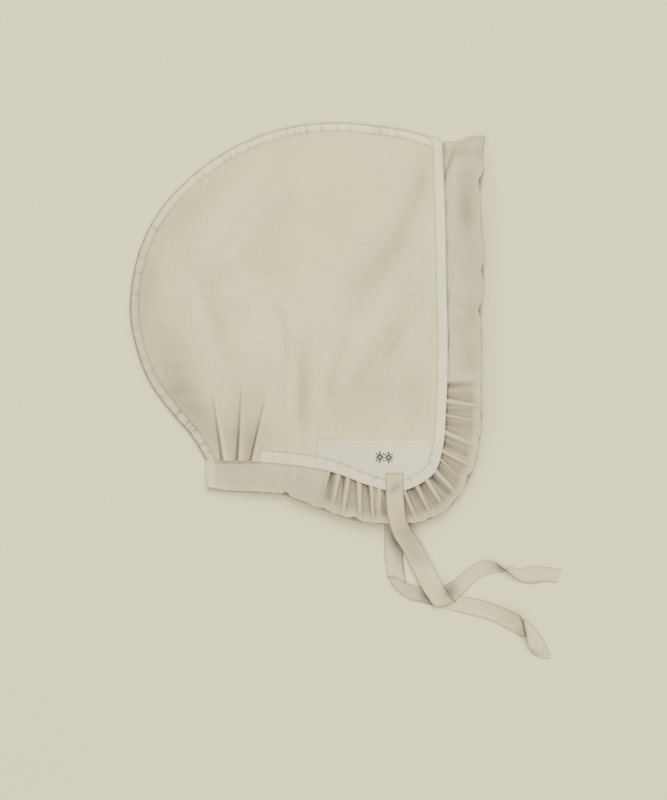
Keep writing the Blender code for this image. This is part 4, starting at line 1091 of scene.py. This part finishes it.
@dataclass
class EdgeBand:
    """The band sewn over the rim of both panels and round the top fold; sewn_at is a share of its width."""

    form: CapForm
    fold_depth: float = 1.5
    stitch_pitch: float = 2.7
    near_end: float = 361.0
    sewn_at: float = 0.86
    cut_width: float = 10.0
    pinches: tuple = (219.9, 227.4, 251.5, 258.0, 280.3, 301.2, 307.5, 316.0)

    def width(self, along: Array) -> Array:
        """The band's width: narrow along the face, a little wider under the jaw and at the neck."""
        return self.form.band_width + 1.3 * window(along, 285.0, 320.0, 372.0, 396.0)

    def near_grid(self, along: Array, across: Array) -> Array:
        """The near layer's middle surface: a strip on the near panel, puffed up between its two edges.

        Args:
            along: distances from the face fold.
            across: shares of the width, 0 at the rim.

        Returns:
            Grid of points.
        """
        point, inward = self.form.rim_frame(along)
        plan = point[:, None] + inward[:, None] * (across[None, :] * self.width(along)[:, None])[..., None]
        puff = 0.26 * np.sin(np.clip(across, 0, 1) * math.pi) ** 0.6
        groove = -0.22 * bell(across - self.sewn_at, 0.05)
        wave = 0.10 * ripple(along, 8.0, 1.9)
        puffed = (puff + groove)[None, :] + wave[:, None] * across[None, :]
        surface, normal = self.form.laid(plan)
        return surface + normal * (self.form.gap + self.form.cloth / 2 + 0.1 + puffed)[..., None]

    def build(self) -> bpy.types.Object:
        """Builds the band and its line of stitches.

        Returns:
            The band.
        """
        form = self.form
        end = form.rim.length - END_MARGIN
        neck, face = np.arange(self.near_end, 320.0, -0.8), np.arange(320.0, 10.0, -1.5)
        near_along = np.concatenate([neck, face, [8.0, 5.5, 3.6, 2.2]])
        far_along = np.concatenate([[2.2, 4.0, 7.0], np.arange(10.0, end, 3.0), [end]])
        across = np.array([0.0, 0.03, 0.1, 0.25, 0.42, 0.6, 0.76, 0.82, self.sewn_at, 0.9, 0.96, 1.0])
        sewn = int(np.argmin(np.abs(across - self.sewn_at)))
        near = self.near_grid(near_along, across)
        point, inward = form.rim_frame(far_along)
        plan = point[:, None] + inward[:, None] * (across[None, :] * form.band_width)[..., None]
        far = np.dstack([plan, form.tie_lift(plan) + form.cloth / 2 + 0.02])
        corner = form.rim.points[0]

        def on_fold(row: Array) -> Array:
            """A row moved along +Y until it lies just inside the fold's own line."""
            moved = row.copy()
            moved[:, 1] = corner[1] + (corner[0] - row[:, 0]) * FOLD_SLANT - self.fold_depth
            return moved

        fold = half_turn(on_fold(near[-1]), on_fold(far[0]), np.linspace(0.0, math.pi, 14), self.fold_depth)
        grid = np.concatenate([near, fold, far])
        normal, wall = facing(grid_normals(grid)), form.cloth / 2 + 0.04
        # Painted shade along the rim edge, on the sewn line and the outer edge, and in the pinches; the fold
        # and the far layer get an even painted shade.
        pinch = sum(bell(near_along - s, 1.6) for s in self.pinches)[:, None]
        pinch = pinch * soft_step(across, 0.30, 0.70)[None, :]
        dashes = 0.75 + 0.35 * ripple(near_along, 4.3, 1.6)[:, None]
        seam = 0.30 * bell(across - self.sewn_at, 0.035) + 0.95 * bell(across - 0.985, 0.05)
        edge = 0.45 * bell(across, 0.05)[None, :] + dashes * seam[None, :]
        age = np.concatenate([edge + 0.38 * pinch, np.full((len(fold) + len(far), len(across)), 0.2)])
        obj = cloth_strip("edge_band_cloth", grid, normal, wall, BAND_LINEN, age)
        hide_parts("edge_band")
        spots = np.arange(self.near_end - 2.0, 4.0, -self.stitch_pitch)
        index = np.unique(np.clip(np.searchsorted(-near_along, -spots), 1, len(near_along) - 2))
        thread = sewn_line("edge_band_stitches", grid, normal, wall, index, sewn, 1.5, 0.15)
        return obj


@dataclass
class Ruffle:
    """The gathered strip under the band, its rolled hem and its end hems."""

    form: CapForm
    fold_rise: float = 2.3
    hem_peek: float = 0.5
    hem_width: float = 1.5
    columns: int = 34
    wall: float = 0.17
    cut_width: float = 28.0
    fullness: float = 1.05

    @property
    def gathered(self) -> tuple[float, float]:
        """Distances along the rim between which the pleats lie."""
        return PLEATS[0][0], PLEATS[-1][0]

    def section(self, along: Array) -> Array:
        """Hem x, y, z at distances along the rim, on a smooth line through the table's rows."""
        curve = smooth_curve(np.array(RUFFLE_SECTIONS), 14)
        return along_line(curve[:, 1:], curve[:, 0], along)

    def gathers(self, along: Array, out: Array) -> Array:
        """Height of the gathers over the ruffle.

        Each pleat is a bell that narrows outwards from its half width at the root and fades past its reach;
        the cloth between pleats sinks, most near the root; small uneven pleats fill the root.

        Args:
            along: distances along the rim.
            out: shares of the width, 0 at the root.

        Returns:
            Heights for the grid.
        """
        s, v = along[:, None], out[None, :]
        total = np.zeros((len(along), len(out)))
        for root, hem, height, reach, half in PLEATS:
            fade = 1 - soft_step(v, reach - 0.28, reach + 0.05)
            crest = bell(s - root - (hem - root) * v, half * (1 - 0.4 * v) + 0.3)
            total += height * (0.25 + 0.75 * fade) * (1 - 0.35 * v) * crest
        first, last = self.gathered
        zone = window(s, first - 5.0, first, last, last + 6.0)
        total -= zone * (1.15 - 0.75 * v)
        small = ripple(along, 3.4, 3.3)[:, None] * np.exp(-out / 0.22)[None, :]
        total += 0.42 * small * (0.25 + 0.75 * zone)
        soft = ripple(along, 38.0, 1.1)[:, None] * v
        return total + 0.7 * soft * (1 - zone) * soft_step(along, 4.0, 26.0)[:, None]

    def layer(self, along: Array, out: Array, far_side: bool) -> Array:
        """One layer of the ruffle, from under the band to its hem.

        The plan runs straight from root to hem along each section's line. The near layer's height falls
        from the rim's to the hem's with the 1.5th power of the way out. The far one lies flat, in low waves.

        Args:
            along: distances along the rim.
            out: shares of the width.
            far_side: whether it is the far layer.

        Returns:
            Grid of points.
        """
        form = self.form
        point, inward = form.rim.at(along)
        hem = self.section(along)
        tucked = 0.9 * soft_step(along, 0.0, 6.0)[:, None]
        root = point + inward * tucked
        away = hem[:, :2] - root
        away /= np.linalg.norm(away, axis=1, keepdims=True)
        dents = sum(depth * bell(along - place, half) for place, depth, half, _ in HEM_DENTS)
        flutter = 0.42 * ripple(along, 8.5, 4.4) * soft_step(along, 150.0, 175.0)
        flutter = flutter + 0.15 * ripple(along, 11.0, 2.2)
        hem[:, :2] += away * (np.full_like(along, self.hem_peek) if far_side else flutter - dents)[:, None]
        plan = root[:, None] + (hem[:, None, :2] - root[:, None]) * out[None, :, None]
        if far_side:
            wave = (0.5 + 0.5 * ripple(along, 17.0, 2.9))[:, None] * out[None, :]
            z = form.tie_lift(plan) + form.cloth / 2 + 0.05 + np.clip(1.1 * wave, 0.0, 2.0)
            return np.dstack([plan, z])
        root_z = form.near(root, tucked=False) - 0.75
        drop = out[None, :] ** 1.5
        z = root_z[:, None] * (1 - drop) + hem[:, None, 2] * drop + self.gathers(along, out)
        curl = bell(along - 6.0, 5.0)[:, None] * soft_step(out, 0.55, 1.0)[None, :]
        return np.dstack([plan, z - 2.2 * curl])

    def painted_shading(self, along: Array, out: Array) -> Array:
        """Painted shade on the near layer: between and beside the pleats, along the root under the band, and
        down its middle.

        Args:
            along: distances along the rim.
            out: shares of the width, 0 at the root.

        Returns:
            Values from 0 to 1 for the grid.
        """
        s, v = along[:, None], out[None, :]
        crest, edge = np.zeros((len(along), len(out))), np.zeros((len(along), len(out)))
        for root, hem, _, reach, half in PLEATS:
            shown = 1 - soft_step(v, reach - 0.12, reach + 0.06)
            wide = half * (1.0 - 0.72 * np.clip(v / reach, 0.0, 1.0))
            d = s - root - (hem - root) * v
            crest = np.maximum(crest, shown * np.exp(-((d / (wide + 0.12)) ** 4)))
            edge += shown * (bell(d + wide + 0.55, 0.5) + 0.6 * bell(d - wide - 0.55, 0.5)) * (1 - 0.5 * v)
        first, last = self.gathered
        zone = window(s, first + 0.5, first + 2.5, last - 2.0, last + 1.0)
        paler = (1.0 - 0.28 * soft_step(v, 0.0, 0.6)) * (1 - 0.88 * soft_step(v, 0.68, 0.92))
        valley = zone * (1 - crest) * paler
        uneven = 0.82 + 0.3 * ripple(s + 3.0 * v, 9.0, 5.2) + 0.12 * ripple(s + 2.0 * v, 1.9, 1.3)
        under = 1.05 - 0.60 * soft_step(s, 262.0, 276.0)
        root_line = under * bell(v, 0.07) * (1 - 0.8 * crest) + 0.12 * np.exp(-v / 0.2)
        plain = (1 - zone) * (0.16 * bell(v - 0.62, 0.3) + 0.08 * ripple(s, 31.0, 2.6) * bell(v - 0.5, 0.4))
        streaks = 0.05 * ripple(s + 9.0 * v, 4.1, 2.2) * (1 - zone)
        valley *= 1 + 0.28 * soft_step(s, 215.0, 235.0)
        return 0.03 + valley * uneven + 0.30 * zone * edge * (1 - crest) + root_line + plain + streaks

    def build(self) -> bpy.types.Object:
        """Builds the ruffle with its hems.

        Returns:
            The ruffle.
        """
        form = self.form
        end = form.rim.length
        near_along = np.concatenate([
            np.arange(end, 322.0, -1.4), np.arange(322.0, 160.0, -0.48), np.arange(160.0, 9.0, -1.5),
            [7.0, 5.0, 3.2, 1.6],
        ])
        far_along = np.concatenate([[1.6, 3.2, 6.0], np.arange(9.0, end, 2.2), [end]])
        out = np.linspace(0.0, 1.0, self.columns) ** 0.92
        near, far = self.layer(near_along, out, False), self.layer(far_along, out, True)
        rise = 0.8 + (self.fold_rise + 1.2) * soft_step(out, 0.35, 0.75)
        fold = half_turn(near[-1], far[0], np.linspace(0.0, math.pi, 16)[1:-1], rise)
        grid = np.concatenate([near, fold, far])
        normal = facing(grid_normals(grid))
        # Painted shade and light in creases, and even painted shade on the fold and the far layer, which lie
        # under the near layer.
        crease_shade = shade_and_stain_spots(near[..., :2].reshape(-1, 2), RUFFLE_PAINTED_SHADE).reshape(near.shape[:-1])
        hidden_shade = np.full((len(fold), len(out)), 0.25), np.full(far.shape[:2], 0.55)
        age = np.concatenate([self.painted_shading(near_along, out) + crease_shade, *hidden_shade])
        obj = cloth_strip("ruffle_cloth", grid, normal, self.wall, RUFFLE_LINEN, age)
        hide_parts("ruffle")
        hem = self.rolled_hem(grid, normal, near_along)
        ends = [
            self.end_hem(grid[:6], normal[:6], "near_end_hem"),
            self.end_hem(grid[-4:][::-1], normal[-4:][::-1], "far_end_hem"),
        ]
        return obj

    def rolled_hem(self, grid: Array, normal: Array, near_along: Array) -> bpy.types.Object:
        """A narrow roll round the hem: an ellipse carried along the edge, square to it.

        Args:
            grid, normal: the ruffle's middle surface and its normals.
            near_along: distances along the rim of its first rows.

        Returns:
            The hem.
        """
        edge, inner = grid[:, -1], grid[:, -3]
        across = inner - edge
        across /= np.linalg.norm(across, axis=1, keepdims=True)
        up = normal[:, -1]
        turn = np.linspace(0.0, 2 * math.pi, 11)[:-1]
        wide = self.hem_width / 2
        centre = edge + across * (wide - 0.25)
        ring = (
            centre[:, None]
            + across[:, None] * (wide * np.cos(turn))[None, :, None]
            + up[:, None] * (0.34 * np.sin(turn))[None, :, None]
        )
        ring[..., 2] = np.maximum(ring[..., 2], 0.03)
        rows, cols = ring.shape[:2]
        cap = np.array([[0, 9, 8, 1], [1, 8, 7, 2], [2, 7, 6, 3], [3, 6, 5, 4]])
        quads = np.vstack([tube_faces(rows, cols), cap[:, ::-1], cap + (rows - 1) * cols])
        solid = np.cross(ring[1, 0] - ring[0, 0], ring[0, 1] - ring[0, 0])
        if np.dot(solid, ring[0, 0] - centre[0]) > 0:
            quads = quads[:, ::-1]
        along = arc_lengths(centre)
        uv = np.stack(np.meshgrid(along, turn * 1.2, indexing="ij"), axis=-1)
        # Painted shade on the hem's outer side and where it turns under.
        shade = np.zeros((rows, 1))
        for place, _, half, depth in HEM_DENTS:
            shade[: len(near_along), 0] += depth * bell(near_along - place, half * 0.8)
        around = -np.cos(turn)[None, :]
        outer, most = soft_step(around, -0.1, 0.6), soft_step(around, -0.9, 0.0)
        age = (0.08 + (0.72 + 0.12 * ripple(along, 13.0, 0.7)[:, None]) * outer + shade * most).ravel()
        points, uv = ring.reshape(-1, 3), uv.reshape(-1, 2)
        return new_piece("ruffle_hem", points, quads, uv, HEM_LINEN, age)

    def end_hem(self, grid: Array, normal: Array, name: str) -> bpy.types.Object:
        """A turned hem along a short end of the ruffle, a doubled strip on its upper face.

        Args:
            grid, normal: the ruffle's last rows, its end row first.
            name: the piece's name.

        Returns:
            The hem.
        """
        s = arc_lengths(grid[:, 0])
        along = np.linspace(0.0, min(6.0, s[-1]), 8)
        rows = along_line(grid.reshape(len(grid), -1), s, along).reshape(len(along), -1, 3)[:, ::2]
        up = np.broadcast_to(normal[:1, ::2], rows.shape) * 1.0
        share = np.clip((along + 0.4) / (along[-1] + 0.8), 0, 1)
        puff = 0.2 + 0.28 * np.sin(share * math.pi)[:, None, None] ** 0.5
        return cloth_wall(name, rows + up * puff, rows + up * 0.1, strip_uv(rows), HEM_LINEN)


@dataclass
class CornerPatch:
    """The reinforcement patch at the lower front corner, and the small mark worked on it."""

    form: CapForm
    left: float = -20.0
    top: float = -33.2
    under_band: float = 5.6
    turning: float = 4.1
    corner: tuple[float, float] = (56.5, -53.0)
    flat: tuple[float, float] = (41.0, 84.0)

    def build(self) -> bpy.types.Object:
        """Builds the patch, its stitches and its cross-stitch mark.

        Returns:
            The patch.
        """
        form = self.form
        inner = form.rim.inset(self.under_band)
        s, x, y = arc_lengths(inner), inner[:, 0], inner[:, 1]
        left = s[int(np.argmin(np.abs(x - self.left) + 1e3 * (y > 0)))]
        right = s[int(np.argmin(np.abs(y - self.top) + 1e3 * (x < 40)))]
        corner = s[int(np.argmin(np.linalg.norm(inner - np.array(self.corner), axis=1)))]
        a, b = fractions((1.0, 120)), fractions((1.0, 54))
        low = along_line(inner, s, left + (corner - left) * a)
        face = along_line(inner, s, corner + (right - corner) * b)
        top_left = np.array([low[0, 0], self.top])
        top = top_left + (face[-1] - top_left) * a[:, None]
        plan = coons(low, top, low[0] + (top_left - low[0]) * b[:, None], face, a, b)
        from_top, from_left = self.top - plan[..., 1], plan[..., 0] - self.left
        turned = soft_step(np.minimum(from_top, from_left), self.turning - 0.5, self.turning + 0.3)
        past_band = form.from_edge(plan, form.rim) - form.band_width
        under = 1 - 0.35 * (1 - soft_step(past_band, -0.6, 0.5))
        surface, normal = form.laid(plan)
        height = (form.gap * 0.5 + form.cloth * 0.75 * under + 0.16 * (1 - turned))[..., None]
        upper, lower = surface + normal * height, surface + normal * 0.03
        # Painted shade along the patch's edges, its turned-under line and beside the band.
        edges = bell(from_top, 0.5) + bell(from_left, 0.5) + 0.45 * bell(from_top - self.turning, 0.45)
        age = 0.03 + 0.42 * edges + 0.12 * np.exp(-np.maximum(past_band, 0.0) / 1.2)
        obj = cloth_wall("corner_patch_cloth", upper, lower, plan, PATCH_LINEN, age)
        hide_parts("corner_patch")
        x, y = np.arange(self.left + 2.0, 60.0, 2.6), np.arange(self.top - 1.5, -46.0, -2.6)
        along_top, along_left = np.full_like(x, self.top - 0.9), np.full_like(y, self.left + 0.9)
        edge = np.vstack([np.stack([x, along_top], -1), np.stack([along_left, y], -1)])
        ways = np.vstack([np.tile([1.0, 0.0, 0.0], (len(x), 1)), np.tile([0.0, 1.0, 0.0], (len(y), 1))])
        thread = self.sewn("corner_patch_stitches", edge, ways, 1.4, 0.14, SEWING_THREAD, 0.55)
        mark = self.mark()
        return obj

    def sewn(
        self, name: str, xy: Array, ways: Array, length: float, radius: float, finish: Linen, lift: float
    ) -> bpy.types.Object:
        """Stitches laid on the patch, their directions bent to the cloth's slope.

        Args:
            name: the piece's name.
            xy: rows with each stitch's middle in plan.
            ways: rows with its direction in plan.
            length, radius, finish: as for stitches.
            lift: how far they lie above the near panel.

        Returns:
            The stitches.
        """
        step = 0.6
        z = self.form.near(xy)
        zx = (self.form.near(xy + [step, 0.0]) - z) / step
        zy = (self.form.near(xy + [0.0, step]) - z) / step
        up = np.stack([-zx, -zy, np.ones_like(zx)], axis=-1)
        up /= np.linalg.norm(up, axis=1, keepdims=True)
        ways = ways + np.stack([0 * zx, 0 * zx, zx * ways[:, 0] + zy * ways[:, 1]], axis=-1)
        centres = np.column_stack([xy, z]) + up * lift
        return stitches(name, centres, ways, up, length, radius, finish)

    def mark(self) -> bpy.types.Object:
        """Two small stars in cross-stitch, each cross two short threads, the second over the first."""
        pitch = 1.16
        crosses = [(c, r) for r, row in enumerate(STAR_CHART) for c, mark in enumerate(row) if mark == "X"]
        cells = np.array(crosses, dtype=float)
        one = np.stack([cells[:, 0] * pitch, -cells[:, 1] * pitch], axis=-1)
        stars = np.vstack([one + [21.1, -42.9], one + [27.3, -43.2]])
        ways = np.vstack([np.tile([1.0, rise, 0.0], (len(stars), 1)) for rise in (1.0, -1.0)])
        return self.sewn("corner_mark", np.vstack([stars, stars]), ways, 1.7, 0.29, MARK_THREAD, 0.5)


@dataclass
class TapeTies:
    """The two tape ties, one sewn over the patch and one under the far side."""

    form: CapForm
    wall: float = 0.22
    step: float = 1.0
    hem_height: float = 11.5
    tape_width: float = 12.0

    def edges(self, rows: tuple) -> Array:
        """The rows' edge points, with heights over the cap made absolute.

        Args:
            rows: a tie's table.

        Returns:
            One row of six coordinates for each row.
        """
        table = np.array(rows, dtype=float)
        points = table[:, :6].reshape(-1, 2, 3).copy()
        over = table[:, 6]
        near = self.form.near(points[..., :2])
        way = np.clip((-70.0 - points[..., 1]) / 23.0, 0.0, 1.0) ** 1.5
        root = self.form.near(np.stack([points[..., 0], np.full_like(points[..., 0], -70.0)], axis=-1))
        ruffle = root * (1 - way) + self.hem_height * way
        base = np.where(over[:, None] == 1, near, np.where(over[:, None] == 2, ruffle, 0.0))
        points[..., 2] += base
        return points.reshape(-1, 6)

    def line(self, rows: tuple) -> tuple[Array, Array]:
        """A tie's dense rows of edge points, and the distance along its middle to each."""
        fine = smooth_curve(self.edges(rows), 40)
        return fine, arc_lengths((fine[:, :3] + fine[:, 3:]) / 2)

    def tape(self, name: str, rows: tuple, spots: tuple, node: str, pressed: float) -> bpy.types.Object:
        """One tie: a strip between two smooth edge curves, slightly cupped, with firm woven edges.

        Args:
            name: the piece's name.
            rows: its table.
            spots: its painted shade and shadow.
            node: the plain solid that it stands for.
            pressed: how much of its sewn end other layers press flat, in mm.

        Returns:
            The tie.
        """
        fine, s = self.line(rows)
        along = np.linspace(0.0, s[-1], int(s[-1] / self.step))
        both = along_line(fine, s, along)
        across = np.array([0.0, 0.04, 0.12, 0.3, 0.5, 0.7, 0.88, 0.96, 1.0])
        grid = both[:, None, :3] * (1 - across[None, :, None]) + both[:, None, 3:] * across[None, :, None]
        normal = grid_normals(grid)
        if normal[2, 4, 2] < 0:
            normal = -normal
        middle = grid[:, 4]
        for x, y, half, dx, dy in TIE_ROLLS:
            near_roll = bell(np.hypot(middle[:, 0] - x, middle[:, 1] - y), half)[:, None]
            grid[..., :2] += (near_roll * np.sin(across * math.pi)[None, :])[..., None] * np.array([dx, dy])
        cup = 0.35 * np.sin(across * math.pi)[None, :] + 0.15 * ripple(along, 21.0, 1.7)[:, None]
        cup = cup * soft_step(along, pressed, pressed + 12.0)[:, None]
        grid = grid + normal * cup[..., None] * np.clip(np.abs(normal[..., 2:]), 0.2, 1.0)
        firm = bell(across - 0.02, 0.05) + bell(across - 0.98, 0.05)
        wall = self.wall * (1 + 0.35 * firm)[None, :, None]
        grid[..., 2] = np.maximum(grid[..., 2], wall[..., 0] + 0.03)
        # Painted shade and shadow from the tie's spots, along both edges and at its sewn end.
        age = 0.05 + shade_and_stain_spots(grid[..., :2].reshape(-1, 2), spots).reshape(grid.shape[:-1])
        edge = bell(across, 0.035) + bell(across - 1.0, 0.035)
        age += 0.95 * edge[None, :] + 0.4 * bell(along, 0.8)[:, None]
        obj = cloth_strip(name, grid, normal, wall, TAPE, age)
        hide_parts(node)
        return obj

    def build(self) -> None:
        near = self.tape("near_tie_tape", NEAR_TIE_ROWS, NEAR_TIE_PAINTED_SHADE, "near_tie", -12.0)
        far = self.tape("far_tie_tape", FAR_TIE_ROWS, FAR_TIE_PAINTED_SHADE, "far_tie", 20.0)
        left, right = self.edges(NEAR_TIE_ROWS)[0].reshape(2, 3)
        rows = np.linspace(0.12, 0.88, 6)[:, None]
        top = left * (1 - rows) + right * rows + np.array([0.0, -1.2, 0.45])
        ways, ups = np.tile([1.0, 0.0, 0.0], (6, 1)), np.tile([0.0, 0.0, 1.0], (6, 1))
        thread = stitches("near_tie_stitches", top, ways, ups, 1.3, 0.15, SEWING_THREAD)
        for obj, table, extra in ((near, NEAR_TIE_ROWS, [thread]), (far, FAR_TIE_ROWS, [])):
            length = float(self.line(table)[1][-1])
            LOG.info("%s: %.0f mm long", obj.name, length)


@dataclass
class Studio:
    """The pale surface, the soft lights and the camera straight above."""

    lens: float = 300.0
    view_height: float = 0.560
    centre: tuple[float, float] = (-0.0089, -0.00665)
    focus_height: float = 0.010
    film: float = 36.0

    def build(self) -> None:
        """Builds the floor, the lights and the camera."""
        self.floor()
        self.light("key_softbox", (0.90, 1.90, 3.90), 3.2, 245.0, (1.0, 0.975, 0.82))
        self.light("fill_softbox", (-0.6, -1.4, 3.4), 3.4, 108.0, (1.0, 0.98, 0.84))
        world = bpy.data.worlds.new("studio_air")
        world.use_nodes = True
        sky = node_of(world.node_tree, "BACKGROUND")
        sky.inputs["Color"].default_value = (1.0, 0.98, 0.84, 1.0)
        sky.inputs["Strength"].default_value = 0.42
        bpy.context.scene.world = world
        self.camera()

    def floor(self) -> None:
        """A plain pale sheet under the cap."""
        mesh = bpy.data.meshes.new("studio_floor")
        size, height = 6.0, -0.0002
        corners = [(x * size, y * size, height) for x, y in ((-1, -1), (1, -1), (1, 1), (-1, 1))]
        mesh.from_pydata(corners, [], [(0, 1, 2, 3)])
        floor = put("studio_floor", mesh)
        material = bpy.data.materials.new("pale_floor")
        material.use_nodes = True
        shader = node_of(material.node_tree, "BSDF_PRINCIPLED")
        shader.inputs["Base Color"].default_value = (0.80, 0.765, 0.50, 1.0)
        shader.inputs["Roughness"].default_value = 0.95
        shader.inputs["Specular IOR Level"].default_value = 0.15
        mesh.materials.append(material)

    def light(self, name: str, place: tuple, size: float, watts: float, colour: tuple) -> None:
        """A square softbox at a place, aimed at the cap."""
        data = bpy.data.lights.new(name, "AREA")
        data.size, data.energy, data.color = size, watts, colour
        obj = put(name, data)
        obj.location = place
        way = -np.array(place) / np.linalg.norm(place)
        tilt = math.acos(-way[2])
        obj.rotation_euler = (tilt, 0.0, math.atan2(-way[0], way[1]))

    def camera(self) -> None:
        """A long lens straight above, lens * view height / film width away, so the frame is that high."""
        data = bpy.data.cameras.new("view_camera")
        data.lens, data.sensor_width, data.sensor_fit = self.lens, self.film, "AUTO"
        data.clip_end = 60.0
        camera = put("view_camera", data)
        camera.location = (*self.centre, self.focus_height + self.lens * self.view_height / self.film)
        bpy.context.scene.camera = camera


def main() -> None:
    """Builds every piece of the cap and the studio."""
    logging.basicConfig(level=logging.INFO, format="%(message)s")
    Studio().build()
    form = CapForm()
    SidePanels(form).build()
    SeamBinding(form).build()
    EdgeBand(form).build()
    Ruffle(form).build()
    CornerPatch(form).build()
    TapeTies(form).build()


if __name__ == "__main__":
    main()
